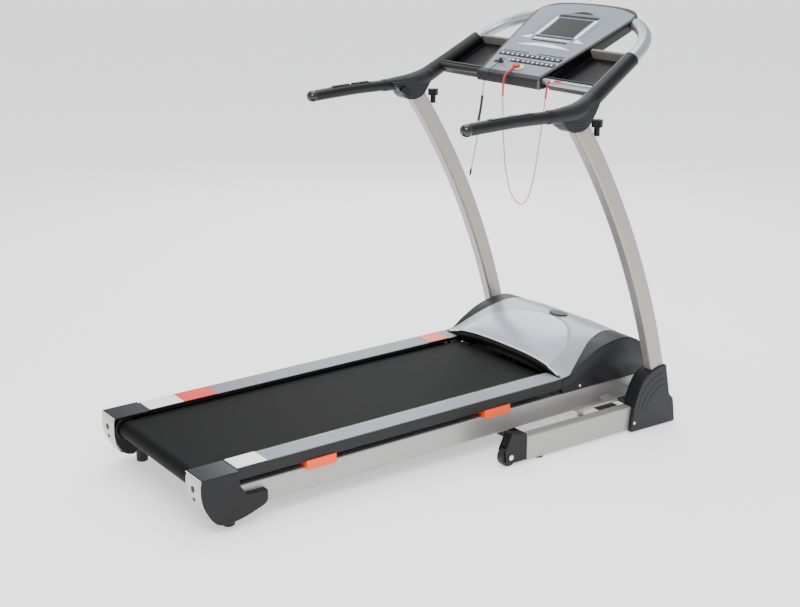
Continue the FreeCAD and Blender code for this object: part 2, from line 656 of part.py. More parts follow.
def bent_path(points, share=0.45):
    """Straight runs joined by tangent arcs, each as large as its share of the shorter run allows."""
    edges, start, radii = [], points[0], []
    for before, corner, after in zip(points, points[1:], points[2:]):
        back, ahead = before - corner, after - corner
        turn = math.pi - back.getAngle(ahead)
        trim = share * min(back.Length, ahead.Length)
        radii.append(trim / math.tan(turn / 2))
        back, ahead = back.normalize(), ahead.normalize()
        first, last = corner + back * trim, corner + ahead * trim
        bisector = (back + ahead).normalize()
        centre = corner + bisector * (radii[-1] / math.cos(turn / 2))
        middle = centre - bisector * radii[-1]
        edges.append(Part.LineSegment(start, first).toShape())
        edges.append(Part.Arc(first, middle, last).toShape())
        start = last
    edges.append(Part.LineSegment(start, points[-1]).toShape())
    return Part.Wire(edges), radii


def tube_solid(label, points, radius, share=0.45):
    """A round bar along a bent path, with its volume compared to its section times its length."""
    path, radii = bent_path(points, share)
    start = Part.makeCircle(radius, points[0], points[1] - points[0])
    solid = path.makePipeShell([Part.Wire([start])], True, False)
    expected = math.pi * radius * radius * path.Length
    print(f"{label}: {path.Length:.1f} mm long, volume {solid.Volume / expected:.4f} of expected, "
          f"radii {' '.join(f'{value:.1f}' for value in radii)}")
    return solid


def shaped(label, shape):
    """A piece whose shape is built in code, brought from stations to the machine's own frame."""
    piece = doc.addObject("Part::Feature", label)
    piece.Label = label
    piece.Shape = shape
    settle(piece, ("0", "-half_length", "0"))
    SUBPARTS.append(piece)
    return piece


def on_console(across_x, along, above="0"):
    """A point given by its X, its distance up the tilted plane and its height above the plane."""
    tilt = math.radians(size("console_tilt"))
    run, rise = size(along), size(above)
    return Vector(size(across_x), size("tilt_station") + run * math.cos(tilt) - rise * math.sin(tilt),
                  size("tilt_height") + run * math.sin(tilt) + rise * math.cos(tilt))


def grip_ends(side):
    """Where the grip's line starts and ends, on one side."""
    start = point(str(side * size("grip_rear_x")), "grip_rear", "grip_rear_z")
    end = point(str(side * size("grip_front_x")), "grip_front", "grip_front_z")
    return start, end


def handlebar_hoop():
    """One bent tube: through the covers, round behind the console, with a core in each grip."""
    right = [on_console("405", "-12"), on_console("355", "385"), on_console("215", "480", "-8")]
    left = [Vector(-spot.x, spot.y, spot.z) for spot in reversed(right)]
    solid = tube_solid("handlebar_hoop", right + left, size("bar_radius"))
    for _, side in SIDES:
        start, end = grip_ends(side)
        line = (end - start).normalize()
        core = Part.makeCylinder(size("core_radius"), (end - start).Length + 60,
                                 start + line * 8, line)
        solid = solid.fuse(core)
    shaped("handlebar_hoop", solid.removeSplitter())


def grip(name, side):
    """The moulded grip with its domed rear end, bored for the tube's core."""
    start, end = grip_ends(side)
    line = (end - start).normalize()
    radius = size("grip_radius")
    long = (end - start).Length
    solid = Part.makeCylinder(radius, long - radius, start + line * radius, line)
    solid = solid.fuse(Part.makeSphere(radius, start + line * radius))
    bore = Part.makeCylinder(size("core_radius + gap"), long, start + line * 7.7, line)
    shaped("grip_" + name, solid.cut([bore, grip_key_seat(side)]).removeSplitter())


def side_cover(name, side):
    """The cover over the upright's top: a round-bottomed lobe, a collar and a long sleeve."""
    middle = point("0", "lobe_station", "lobe_height")
    radius = size("lobe_radius")
    inner, outer = size("lobe_inner"), size("lobe_outer")
    low = -outer if side < 0 else inner
    solid = Part.makeCylinder(radius, outer - inner, middle + X * low, X)
    start, end = grip_ends(side)
    line = (end - start).normalize()
    collar = Part.makeCylinder(size("grip_radius + 3"), 34, end + line * 0.5, line)
    foot, reach = on_console(str(side * 405), "-12"), on_console(str(side * 355), "385")
    along = (reach - foot).normalize()
    sleeve = Part.makeCylinder(size("sleeve_radius"), size("sleeve_length"), foot + along * 12, along)
    solid = solid.fuse([collar, sleeve])
    room = size("gap")
    core = Part.makeCylinder(size("core_radius") + room, 90, end - line * 5, line)
    bar = Part.makeCylinder(size("bar_radius") + room, size("sleeve_length") + 40,
                            foot - along * room, along)
    post_low = -size("upright_outer") - room if side < 0 else size("upright_outer - upright_width") - room
    post = Part.makeBox(size("upright_width") + 2 * room, size("upright_depth") + 2, 60 + room,
                        Vector(post_low, -size("upright_depth") / 2 - 1, -60))
    post.Placement = Placement(point("0", "bend_station + bend_radius * cos(upright_to)",
                                     "bend_height + bend_radius * sin(upright_to)"),
                               Rotation(Vector(1, 0, 0), size("upright_to")))
    shaped("side_cover_" + name, solid.cut([core, bar, post]).removeSplitter())


def star_knob(name, side):
    """A six-lobed knob in front of the upright's top, with its threaded stem."""
    piece = body("star_knob_" + name)
    piece.Placement = Placement(Vector(), Rotation(Vector(1, 0, 0), -58))
    settle(piece, (f"{side} * 402", "knob_station - half_length", "knob_height"))
    rod(piece, ("0", "0", "0"), "knob_radius - 4", "knob_long", "z")
    for number in range(6):
        turn = math.radians(60 * number)
        rod(piece, (f"{math.cos(turn):.5f} * (knob_radius - 5)", f"{math.sin(turn):.5f} * (knob_radius - 5)",
                    "-6"), "5", "knob_long + 6", "z")
    rod(piece, ("0", "0", "-32"), "9", "36", "z")


# ---------------------------------------------------------------- console
def face_outline(inset):
    """The shield-shaped outline of the console's face, moved inwards by an inset."""
    wide, narrow = f"(face_front_half - ({inset}))", f"(face_rear_half - ({inset}))"
    front = f"524 - ({inset})"
    return ((f"-{narrow}", f"console_rear + {inset}"), (narrow, f"console_rear + {inset}"),
            (wide, "468", "90"), ("144", front, "560"), ("-144", front, "90"), (f"-{wide}", "468"))


def console_shell():
    """The black housing: its rim round the face, and an open tray at each side."""
    piece = body("console_shell", "console")
    pad(piece, "XY_Plane", face_outline("0"), "face_above + 3 - console_low", "console_low")
    pad(piece, "XY_Plane", face_outline("rim - gap"), "10", "face_above - 1.5", True)
    box(piece, ("-243", "428", "console_low - 1"), ("243", "502", "bar_radius - 6"), cut=True)
    for _, side in SIDES:
        low, high = across(side, "face_rear_half - 6", "tray_outer")
        box(piece, (low, "tray_rear", "-tray_deep"), (high, "tray_front", "crossbar_high"))
        low, high = across(side, "face_rear_half + 34", "tray_outer - tray_wall")
        box(piece, (low, "tray_rear + 14", "-tray_deep + tray_wall"),
            (high, "tray_front - tray_wall", "crossbar_high + 60"), cut=True)
        low, high = across(side, "tray_outer - 1", "374")
        box(piece, (low, "tray_rear", "-12"), (high, "tray_rear + 12", "crossbar_high"))
        line = on_console(str(side * 355), "385") - on_console(str(side * 405), "-12")
        lean = math.degrees(math.atan2(-line.x, size("397")))
        rod(piece, (f"{side * 405}", "-12", "0"), "sleeve_radius + gap", "420",
            Rotation(Vector(0, 0, 1), lean) * TURNS["y"], cut=True)


def console_panel():
    piece = body("console_panel", "console")
    pad(piece, "XY_Plane", face_outline("rim"), "4", "face_above - 1.2")
    box(piece, ("-display_half - gap", "display_rear - gap", "face_above + 0.8"),
        ("display_half + gap", "display_front + gap", "face_above + 9"), cut=True)
    key_slots(piece)


def display_lens():
    piece = body("display_lens", "console")
    box(piece, ("-display_half", "display_rear", "face_above + 1.1"),
        ("display_half", "display_front", "face_above + 4.3"))


def key_spots():
    """The keys' centres across and along the face: a long upper row and a shorter lower one."""
    upper = [(24 * number - 132, 212) for number in range(12)]
    lower = [(22 * number - 44 if number > 1 else 22 * number - 50, 183) for number in range(9)]
    return upper + lower


def console_keys():
    piece = body("console_keys", "console")
    for spot_x, spot_along in key_spots():
        box(piece, (f"{spot_x - 8}", f"{spot_along - 5}", "face_above + 0.6"),
            (f"{spot_x + 8}", f"{spot_along + 5}", "face_above + 5"))


def key_slots(piece):
    """Cut the openings that the two rows of keys stand in."""
    for low, high, along in (("-142", "142", 212), ("-60", "142", 183)):
        box(piece, (low, f"{along - 6}", "face_above - 5"), (high, f"{along + 6}", "face_above + 9"),
            cut=True)


def grip_keys(name, side):
    """Two rocker plates on top of each grip, for speed and slope."""
    start, end = grip_ends(side)
    line = (end - start).normalize()
    radius = size("grip_radius")
    turn = Rotation(Vector(0, 1, 0), line)
    plates = []
    for number in range(2):
        plate = Part.makeBox(15, 66, 4.5, Vector(-7.5, 100 + 72 * number, radius - 1.2))
        plate = plate.makeFillet(1.5, [edge for edge in plate.Edges
                                       if edge.BoundBox.ZMin > radius + 3.2])
        plate.Placement = Placement(start, turn)
        plates.append(plate)
    shaped("grip_keys_" + name, Part.makeCompound(plates))


def grip_key_seat(side):
    """The block that a grip loses so that its keys have a flat seat and room to travel."""
    start, end = grip_ends(side)
    seat = Part.makeBox(17, 142, 10, Vector(-8.5, 98, size("grip_radius") - 2.8))
    seat.Placement = Placement(start, Rotation(Vector(0, 1, 0), (end - start).normalize()))
    return seat


def safety_key():
    piece = body("safety_key", "console")
    level = "face_above + 3"
    rod(piece, ("-12", "safety_key_along", level), "9", "8", "z")
    rod(piece, ("4", "safety_key_along", level), "9", "8", "z")
    box(piece, ("-12", "safety_key_along - 9", level), ("4", "safety_key_along + 9", level + " + 8"))


LANYARD = [on_console("-4", "144.7", "26"), on_console("-3", "126", "26.6"), on_console("-1", "104", "27"),
           Vector(0, 1254, 1084), Vector(1, 1251, 1040), Vector(3, 1252, 990), Vector(7, 1250, 935),
           Vector(12, 1252, 880), Vector(19, 1250, 828), Vector(31, 1252, 780), Vector(52, 1250, 738),
           Vector(80, 1252, 713), Vector(110, 1251, 712), Vector(137, 1253, 742),
           Vector(152, 1253, 790), Vector(162, 1256, 842), Vector(169, 1258, 896),
           Vector(174, 1262, 950), Vector(179, 1265, 1003), Vector(182, 1269, 1052),
           Vector(187, 1270, 1086), on_console("192", "112", "19"), on_console("203.5", "120", "16")]
PULSE_LEAD = [on_console("-92", "162.8", "25"), on_console("-93", "142", "27"),
              on_console("-94", "120", "27.5"), on_console("-95", "101", "23"),
              Vector(-95, 1250, 1068), Vector(-97, 1248, 1030), Vector(-105, 1249, 990),
              Vector(-115, 1248, 948), Vector(-119, 1250, 905), Vector(-128, 1248, 862),
              Vector(-141, 1250, 822), Vector(-150, 1249, 785)]


def cords():
    """The safety key's lanyard and the thin pulse lead; both are limp and hang free."""
    shaped("safety_lanyard", tube_solid("safety_lanyard", LANYARD, 1.5))
    shaped("pulse_lead", tube_solid("pulse_lead", PULSE_LEAD, 1.25))
    fall = (PULSE_LEAD[-1] - PULSE_LEAD[-2]).normalize()
    shaped("lead_end", Part.makeCylinder(3.5, 24, PULSE_LEAD[-1], fall))


def lanyard_clip():
    piece = body("lanyard_clip", "console")
    box(piece, ("203.5", "115.5", "crossbar_high + 0.2"), ("266", "126", "crossbar_high + 9"))


def lead_plug():
    piece = body("lead_plug", "console")
    rod(piece, ("-92", "168", "face_above + 2.9"), "5.2", "12", "z")


# ---------------------------------------------------------------- build, check and write
for side_name, side_sign in SIDES:
    base_arm(side_name, side_sign)
    upright(side_name, side_sign)
    boot(side_name, side_sign)
    transport_wheel(side_name, side_sign)
    side_rail(side_name, side_sign)
    foot_rail(side_name, side_sign)
    rear_cap(side_name, side_sign)
    hood_side(side_name, side_sign)
    side_cover(side_name, side_sign)
    grip(side_name, side_sign)
    grip_keys(side_name, side_sign)
    star_knob(side_name, side_sign)
for make in (base_cross_tubes, arm_brackets, wheel_forks, frame_bolts, base_feet,
             gas_strut, deck_crossmembers, deck_board, running_belt, roller_axles, grip_strips,
             end_plates, adjuster_bolts, deck_cushions, hood_cover, motor_pan, drive_motor,
             motor_flywheel, drive_belt, control_board, power_inlet, power_switch, handlebar_hoop,
             console_shell, console_panel, display_lens, console_keys, safety_key, cords,
             lanyard_clip, lead_plug):
    make()
roller("front_roller", "front_roller")
roller("rear_roller", "rear_roller")
doc.recompute()

faults = [f"{item.Label}: {item.State}" for item in doc.Objects
          if {"Invalid", "Error"} & set(item.State)]
faults += [f"{piece.Label}: shape" for piece in SUBPARTS
           if piece.Shape.isNull() or not piece.Shape.isValid() or not piece.Shape.Solids]
if faults:
    raise SystemExit("not written, faults in: " + "; ".join(faults))
os.makedirs("parts", exist_ok=True)
for piece in SUBPARTS:
    piece.Shape.exportStep(f"parts/{piece.Label}.step")
print(len(SUBPARTS), "pieces written")
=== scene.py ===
# %% [markdown]
# # A folding treadmill
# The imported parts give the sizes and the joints. This file adds the moulded plastics, the console's
# graphics, the cords, the materials, the lights and the camera.
# Lengths inside the cells are millimetres; the helpers turn them into metres in the frame.

# %% Load the frame
import math

import bmesh
import bpy
import numpy as np
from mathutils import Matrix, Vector


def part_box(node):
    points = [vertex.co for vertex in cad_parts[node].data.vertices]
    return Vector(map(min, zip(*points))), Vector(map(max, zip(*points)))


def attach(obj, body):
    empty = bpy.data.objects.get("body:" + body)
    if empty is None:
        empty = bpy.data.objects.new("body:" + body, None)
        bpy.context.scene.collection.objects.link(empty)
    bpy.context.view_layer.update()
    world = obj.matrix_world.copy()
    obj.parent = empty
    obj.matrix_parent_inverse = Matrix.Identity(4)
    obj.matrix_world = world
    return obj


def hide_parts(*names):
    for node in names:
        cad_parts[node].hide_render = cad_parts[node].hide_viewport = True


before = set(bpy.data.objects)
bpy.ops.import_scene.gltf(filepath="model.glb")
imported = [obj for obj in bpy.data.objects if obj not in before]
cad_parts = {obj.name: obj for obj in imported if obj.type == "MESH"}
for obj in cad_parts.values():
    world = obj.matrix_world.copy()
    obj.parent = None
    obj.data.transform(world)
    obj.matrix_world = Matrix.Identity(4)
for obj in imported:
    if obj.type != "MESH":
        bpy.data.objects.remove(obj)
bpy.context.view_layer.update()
render_levels = 2

# %% [markdown]
# A *station* is the distance forward from the rear caps, and everything is drawn by its station.
# The deck slopes by 0.8 degrees at rest, and the console's plane is tilted by 30 degrees.

# %% Places
WHEEL_STATION = 0.975
wheel_low, wheel_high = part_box("transport_wheel_right")
ZERO = (wheel_low.y + wheel_high.y) / 2 - WHEEL_STATION
DECK_PITCH = math.radians(0.8)
CONSOLE_TILT = math.radians(30)
SIDES = (("left", -1), ("right", 1))


def base(x, station, z):
    """Millimetres to the frame's metres, as points along the last axis."""
    x, station, z = np.broadcast_arrays(np.asarray(x, float), station, z)
    return np.stack([x, station, z], -1) / 1000 + (0, ZERO, 0)


def deck(x, station, z):
    """The deck's own level millimetres, turned by its pitch about the spot where its feet stand."""
    sine, cosine = math.sin(DECK_PITCH), math.cos(DECK_PITCH)
    return base(x, np.asarray(station) * cosine - np.asarray(z) * sine,
                np.asarray(station) * sine + np.asarray(z) * cosine - 96 * sine)


def console(x, along, above):
    """Across, up the tilted plane of the handlebar, and square to it."""
    sine, cosine = math.sin(CONSOLE_TILT), math.cos(CONSOLE_TILT)
    return base(x, 1186 + np.asarray(along) * cosine - np.asarray(above) * sine,
                1030 + np.asarray(along) * sine + np.asarray(above) * cosine)


print("station 0 is at Y", round(ZERO, 4))

# %% [markdown]
# ## The camera
# It stands to the right and behind, a little above the handlebars.

# %% Camera
CAMERA_TURN, CAMERA_RISE = math.radians(54.81), math.radians(16.69)
camera_data = bpy.data.cameras.new("camera")
camera_data.lens = 62.28
camera_data.sensor_width = 36
camera = bpy.data.objects.new("camera", camera_data)
camera.location = base(3352.5, -1504.8, 1660.5)
camera.rotation_euler = (math.pi / 2 - CAMERA_RISE, 0, CAMERA_TURN)
bpy.context.scene.collection.objects.link(camera)
bpy.context.scene.camera = camera
print("camera at", [round(value, 3) for value in camera.location])

# %% [markdown]
# ## Materials
# Each one is a Principled shader. Fine noise at the real grain's size gives the moulded texture, and
# its bump is in metres, so it holds at any distance.

# %% Material builder
def linear(colour):
    """An sRGB hex colour as linear RGBA."""
    parts = [int(colour[start:start + 2], 16) / 255 for start in (1, 3, 5)]
    return [part / 12.92 if part <= 0.04045 else ((part + 0.055) / 1.055) ** 2.4
            for part in parts] + [1.0]


def add(tree, kind, inputs=None, **settings):
    """Add a node, set its properties, and set or link its inputs."""
    node = tree.nodes.new(kind)
    for name, value in settings.items():
        setattr(node, name, value)
    for name, value in (inputs or {}).items():
        if isinstance(value, bpy.types.NodeSocket):
            tree.links.new(value, node.inputs[name])
        else:
            node.inputs[name].default_value = value
    return node


def material(name, colour, roughness, metallic=0.0, grain=1.0, depth=0.0, stretch=(1, 1, 1),
             spread=0.0, ior=1.5, coat=0.0, sheen=0.0, specular=0.5):
    """A finish: grain and depth are the texture's pitch and height in mm; spread varies the gloss."""
    made = bpy.data.materials.new(name)
    made.use_nodes = True
    tree = made.node_tree
    shader = tree.nodes["Principled BSDF"]
    shader.inputs["Base Color"].default_value = linear(colour)
    shader.inputs["Roughness"].default_value = roughness
    shader.inputs["Metallic"].default_value = metallic
    if not metallic:
        shader.inputs["IOR"].default_value = ior
        shader.inputs["Specular IOR Level"].default_value = specular
    shader.inputs["Coat Weight"].default_value = coat
    shader.inputs["Coat Roughness"].default_value = 0.12
    shader.inputs["Sheen Weight"].default_value = sheen
    if depth or spread:
        place = add(tree, "ShaderNodeTexCoord")
        scaled = add(tree, "ShaderNodeMapping", {"Vector": place.outputs["Object"], "Scale": stretch})
        noise = add(tree, "ShaderNodeTexNoise", {"Vector": scaled.outputs["Vector"],
                                                 "Scale": 1000 / grain, "Detail": 3.0})
    if depth:
        bump = add(tree, "ShaderNodeBump", {"Height": noise.outputs["Fac"], "Strength": 1.0,
                                            "Distance": depth / 1000})
        tree.links.new(bump.outputs["Normal"], shader.inputs["Normal"])
    if spread:
        gloss = add(tree, "ShaderNodeMapRange", {"Value": noise.outputs["Fac"], "From Min": 0.3,
                                                 "From Max": 0.7, "To Min": roughness - spread,
                                                 "To Max": roughness + spread})
        tree.links.new(gloss.outputs["Result"], shader.inputs["Roughness"])
    return made


# %% [markdown]
# Metals first. Powder coat has a faint orange peel about 2 mm across; brushed parts are stretched
# along the bar, which draws fine lines.

# %% Metal finishes
SILVER_POWDER = material("powder-coated steel, silver", "#a3a2a0", 0.38, metallic=0.55, grain=2.0,
                         depth=0.012, spread=0.05)
UPRIGHT_POWDER = material("powder-coated steel, warm silver", "#a19f98", 0.36, metallic=0.6, grain=2.2,
                          depth=0.012, spread=0.05)
BLACK_POWDER = material("powder-coated steel, black", "#17171a", 0.45, grain=2.0, depth=0.015)
BRUSHED_ALUMINIUM = material("brushed aluminium", "#a9abad", 0.34, metallic=0.85, grain=1.2,
                             depth=0.01, stretch=(1, 0.02, 1), spread=0.06)
STRIP = material("anodised aluminium, satin", "#9c9fa6", 0.42, metallic=0.6, grain=4.0, depth=0.004,
                 stretch=(1, 0.03, 1))
ZINC = material("zinc-plated steel", "#b9b7b2", 0.36, metallic=0.75, grain=3.0, depth=0.01, spread=0.06)
BRIGHT_BOLT = material("bright zinc bolt", "#e6e6e6", 0.2, metallic=1.0)
CAST_IRON = material("machined cast iron", "#55565a", 0.4, metallic=1.0, grain=1.5, depth=0.02)
print(len(bpy.data.materials), "materials so far")

# %% [markdown]
# Moulded plastics have a spark-eroded grain near 1 mm. The grips are soft thermoplastic rubber, and
# the cushions a matte elastomer.

# %% Plastic, rubber and cord finishes
BLACK_ABS = material("moulded ABS, black", "#08080a", 0.42, grain=1.0, depth=0.02, spread=0.05,
                     specular=0.3)
DARK_ABS = material("moulded ABS, dark grey", "#131317", 0.45, grain=1.2, depth=0.025, spread=0.05,
                    specular=0.35)
EXTRUSION = material("extruded PVC, charcoal", "#111115", 0.42, grain=1.5, depth=0.012,
                     stretch=(1, 0.05, 1), specular=0.3)
SILVER_ABS = material("painted ABS, silver blue", "#b2b8c4", 0.3, metallic=0.25, grain=1.0, depth=0.004,
                      coat=0.25)
SILVER_BORDER = material("painted ABS, silver grey", "#a2a4ab", 0.36, metallic=0.3, grain=1.0,
                         depth=0.006, coat=0.15)
# White lines along edges: a painted highlight where an edge catches the light.
EDGE_HIGHLIGHT = material("painted highlight, white edge line", "#f4f4f6", 0.35, grain=1.0, depth=0.003)
FACE_SILVER = material("painted polycarbonate, silver", "#6f7886", 0.38, metallic=0.3, grain=0.8,
                       depth=0.004, coat=0.2)
FACE_DARK = material("printed film, charcoal", "#090a0d", 0.5, specular=0.15)
FACE_LIGHT = material("printed film, white", "#eceff2", 0.4)
FACE_MID = material("printed film, mid grey", "#4c535b", 0.4)
LENS = material("tinted acrylic lens", "#080c0e", 0.3, specular=0.15)
GRIP_RUBBER = material("thermoplastic rubber, black", "#070708", 0.4, grain=1.2, depth=0.02,
                       stretch=(1, 0.2, 1), specular=0.35)
GRIP_CAP = material("gloss ABS, black", "#070708", 0.2, coat=0.4)
BELT = material("PVC belt, fine textile impression", "#070708", 0.65, grain=1.6, depth=0.03,
                spread=0.05, specular=0.12)
TYRE = material("moulded rubber, black", "#101011", 0.6, grain=1.0, depth=0.02)
ORANGE = material("polyurethane elastomer, orange", "#ff4e00", 0.45, grain=1.2, depth=0.02)
WHITE_LABEL = material("vinyl label, white", "#fbfbfb", 0.4)
RED_LABEL = material("vinyl label, red-orange", "#ec1c00", 0.4)
ORANGE_LABEL = material("vinyl label, orange", "#f86008", 0.4)
RED_ABS = material("moulded ABS, red", "#bb0208", 0.3, coat=0.2)
RED_CORD = material("braided nylon, red", "#b80c12", 0.7, grain=0.6, depth=0.05, sheen=0.3)
THIN_CORD = material("thin braided nylon, red", "#c93a34", 0.7, grain=0.6, depth=0.04, sheen=0.3)
BLACK_CORD = material("PVC sheath, black", "#0c0c0d", 0.45)
CREAM = material("moulded ABS, cream", "#e9dfb6", 0.4)
FIBREBOARD = material("melamine-faced fibreboard, black", "#0b0b0c", 0.5, grain=6, depth=0.01,
                      specular=0.2)
PINK = material("moulded ABS, pink", "#c98f8f", 0.4)
BADGE = material("moulded ABS, olive black", "#2c2f2e", 0.4)
# The tray's back wall is dark grey moulding; its light warm grey colour here is a painted highlight.
TRAY_BACK_WITH_HIGHLIGHT = material("moulded ABS, dark grey with painted highlight", "#77716a", 0.5, grain=1.2, depth=0.02)
print(len(bpy.data.materials), "materials")

# %% [markdown]
# ## Shape helpers
# Every built piece is a closed loft of rings, an extruded outline, a swept tube or a thick surface.

# %% Pieces
def piece(name, points, faces, finish, body, bevel=0.0, stands_for=()):
    """A mesh from points in metres, shaded by angle and riding on its body; bevel is in mm."""
    mesh = bpy.data.meshes.new(name)
    mesh.from_pydata(np.asarray(points, float).reshape(-1, 3).tolist(), [], faces)
    drawing = bmesh.new()
    drawing.from_mesh(mesh)
    bmesh.ops.recalc_face_normals(drawing, faces=drawing.faces)
    drawing.to_mesh(mesh)
    drawing.free()
    mesh.shade_smooth()
    mesh.set_sharp_from_angle(angle=math.radians(34))
    mesh.materials.append(finish)
    made = bpy.data.objects.new(name, mesh)
    bpy.context.scene.collection.objects.link(made)
    if bevel:
        rounding = made.modifiers.new("rounding", "BEVEL")
        rounding.width = bevel / 1000
        rounding.segments = 3 if render_levels else 1
        rounding.limit_method = "ANGLE"
        rounding.angle_limit = math.radians(34)
        rounding.harden_normals = True
    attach(made, body)
    if stands_for:
        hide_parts(*stands_for)
    return made


def ring_faces(count, size, closed_ends=True):
    """Quads between rings of equal size, with a cap on the first and last."""
    start = np.arange(count - 1)[:, None] * size + np.arange(size)
    ahead = np.arange(count - 1)[:, None] * size + (np.arange(size) + 1) % size
    quads = np.stack([start, ahead, ahead + size, start + size], -1).reshape(-1, 4).tolist()
    if closed_ends:
        quads += [list(range(size))[::-1], list(range((count - 1) * size, count * size))]
    return quads


def loft(name, rings, finish, body, **more):
    """A closed skin through rings of points, shape (rings, points, 3)."""
    rings = np.asarray(rings)
    return piece(name, rings, ring_faces(rings.shape[0], rings.shape[1]), finish, body, **more)


def extrude(name, outline, low, high, place, finish, body, **more):
    """A flat outline (u, v) given depth; place(u, v, depth) puts its points in the frame."""
    outline = np.asarray(outline, float)
    rings = [place(outline[:, 0], outline[:, 1], depth) for depth in (low, high)]
    return loft(name, rings, finish, body, **more)


def rounded(outline, radius, steps=5):
    """An outline with each corner drawn as a curve that starts at most radius away from it."""
    outline = np.asarray(outline, float)
    before, after = np.roll(outline, 1, 0) - outline, np.roll(outline, -1, 0) - outline
    first = np.linalg.norm(before, axis=1, keepdims=True)
    last = np.linalg.norm(after, axis=1, keepdims=True)
    radius = np.broadcast_to(np.asarray(radius, float).reshape(-1, 1), first.shape)
    trim = np.minimum(radius, 0.45 * np.minimum(first, last))
    start, end = outline + before / first * trim, outline + after / last * trim
    share = np.linspace(0, 1, steps)[None, :, None]
    curve = ((1 - share) ** 2 * start[:, None] + 2 * share * (1 - share) * outline[:, None]
             + share ** 2 * end[:, None])
    return curve.reshape(-1, 2)


def smooth_line(points, count):
    """A Catmull-Rom curve through points, sampled evenly in its parameter."""
    points = np.asarray(points, float)
    padded = np.vstack([2 * points[0] - points[1], points, 2 * points[-1] - points[-2]])
    place = np.linspace(0, len(points) - 1, count)
    index = np.minimum(place.astype(int), len(points) - 2)
    share = (place - index)[:, None]
    a, b, c, d = (padded[index + step] for step in range(4))
    return 0.5 * (2 * b + (c - a) * share + (2 * a - 5 * b + 4 * c - d) * share ** 2
                  + (3 * b - 3 * c + d - a) * share ** 3)


def tube(name, path, radius, finish, body, sides=20, **more):
    """A round bar along points in metres; radius in mm, one value or one for each point."""
    path = np.asarray(path, float)
    ahead = np.gradient(path, axis=0)
    ahead /= np.linalg.norm(ahead, axis=1, keepdims=True)
    upward = np.array([0.13, 0.21, 1.0]) if abs(ahead[:, 2]).max() < 0.9 else np.array([1.0, 0.1, 0.2])
    across = np.cross(ahead, upward)
    across /= np.linalg.norm(across, axis=1, keepdims=True)
    lift = np.cross(across, ahead)
    turn = np.linspace(0, 2 * math.pi, sides, endpoint=False)
    radius = np.broadcast_to(np.asarray(radius, float) / 1000, len(path))[:, None, None]
    rings = path[:, None] + radius * (np.cos(turn)[None, :, None] * across[:, None]
                                      + np.sin(turn)[None, :, None] * lift[:, None])
    return loft(name, rings, finish, body, **more)


def thick_surface(name, points, thickness, finish, body, **more):
    """An open grid of points, shape (rows, columns, 3), given thickness in mm on its inner side."""
    rows, columns = points.shape[:2]
    corner = np.arange(rows - 1)[:, None] * columns + np.arange(columns - 1)
    quads = np.stack([corner, corner + 1, corner + columns + 1, corner + columns], -1)
    made = piece(name, points, quads.reshape(-1, 4).tolist(), finish, body, **more)
    skin = made.modifiers.new("skin", "SOLIDIFY")
    skin.thickness = thickness / 1000
    skin.offset = -1
    return made


def deck_side(station, height, x):
    return deck(x, station, height)


def base_side(station, height, x):
    return base(x, station, height)


def disc(count=28):
    """A circle of radius 1 as an outline."""
    turn = np.linspace(0, 2 * math.pi, count, endpoint=False)
    return np.stack([np.cos(turn), np.sin(turn)], -1)


print("helpers ready")

# %% [markdown]
# ## Cords
# The red lanyard runs from the safety key over the console's lip, hangs in a loop and comes back over
# the crossbar. The thin black lead hangs from its plug. Both are limp.

# %% Cord builder
def route(points):
    """Route points given as ("tilt", x, along, above) or (x, station, z), in metres."""
    placed = [console(*point[1:]) if point[0] == "tilt" else base(*point) for point in points]
    return np.array(placed)


def cord_curve(name, points, diameter, finish, body, node):
    """A NURBS curve of order 3 along the route, as thick as the cord."""
    curve = bpy.data.curves.new(name, "CURVE")
    curve.dimensions = "3D"
    spline = curve.splines.new("NURBS")
    spline.points.add(len(points) - 1)
    spline.points.foreach_set("co", np.hstack([points, np.ones((len(points), 1))]).ravel())
    spline.order_u = 3
    spline.use_endpoint_u = True
    spline.resolution_u = 8
    curve.bevel_depth = diameter / 2
    curve.bevel_resolution = 3
    curve.use_fill_caps = True
    curve.materials.append(finish)
    made = bpy.data.objects.new(name, curve)
    bpy.context.scene.collection.objects.link(made)
    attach(made, body)
    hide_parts(node)
    return made


# %% Lanyard and lead
LANYARD = route([
    ("tilt", -4, 144.7, 26), ("tilt", -3, 126, 26.6), ("tilt", -1, 104, 27), (0, 1254, 1084),
    (1, 1251, 1040), (3, 1252, 990), (7, 1250, 935), (12, 1252, 880), (19, 1250, 828),
    (31, 1252, 780), (52, 1250, 738), (80, 1252, 713), (110, 1251, 712), (137, 1253, 742),
    (152, 1253, 790), (162, 1256, 842), (169, 1258, 896), (174, 1262, 950), (179, 1265, 1003),
    (182, 1269, 1052), (187, 1270, 1086), ("tilt", 192, 112, 19), ("tilt", 203.5, 120, 16)])
PULSE_LEAD = route([
    ("tilt", -92, 162.8, 25), ("tilt", -93, 142, 27), ("tilt", -94, 120, 27.5),
    ("tilt", -95, 101, 23), (-95, 1250, 1068), (-97, 1248, 1030), (-105, 1249, 990),
    (-115, 1248, 948), (-119, 1250, 905), (-128, 1248, 862), (-141, 1250, 822), (-150, 1249, 785)])
lanyard = cord_curve("lanyard", LANYARD, 0.003, THIN_CORD, "pull_key", "safety_lanyard")
lead = cord_curve("lead", PULSE_LEAD, 0.0025, BLACK_CORD, "base", "pulse_lead")
sleeve_near = tube("lanyard_sleeve_near", smooth_line(LANYARD[:5], 40), 3.1, RED_CORD, "pull_key")
sleeve_far = tube("lanyard_sleeve_far", smooth_line(LANYARD[19:], 30), 3.1, RED_CORD, "pull_key")
lead_sleeve = tube("lead_sleeve", smooth_line(PULSE_LEAD[5:8], 24), 4.2, BLACK_CORD, "base")
print("lanyard of", len(LANYARD), "route points, lead of", len(PULSE_LEAD))

# %% [markdown]
# The key is a red oval on a cream base. A small clip ends the lanyard on the crossbar.

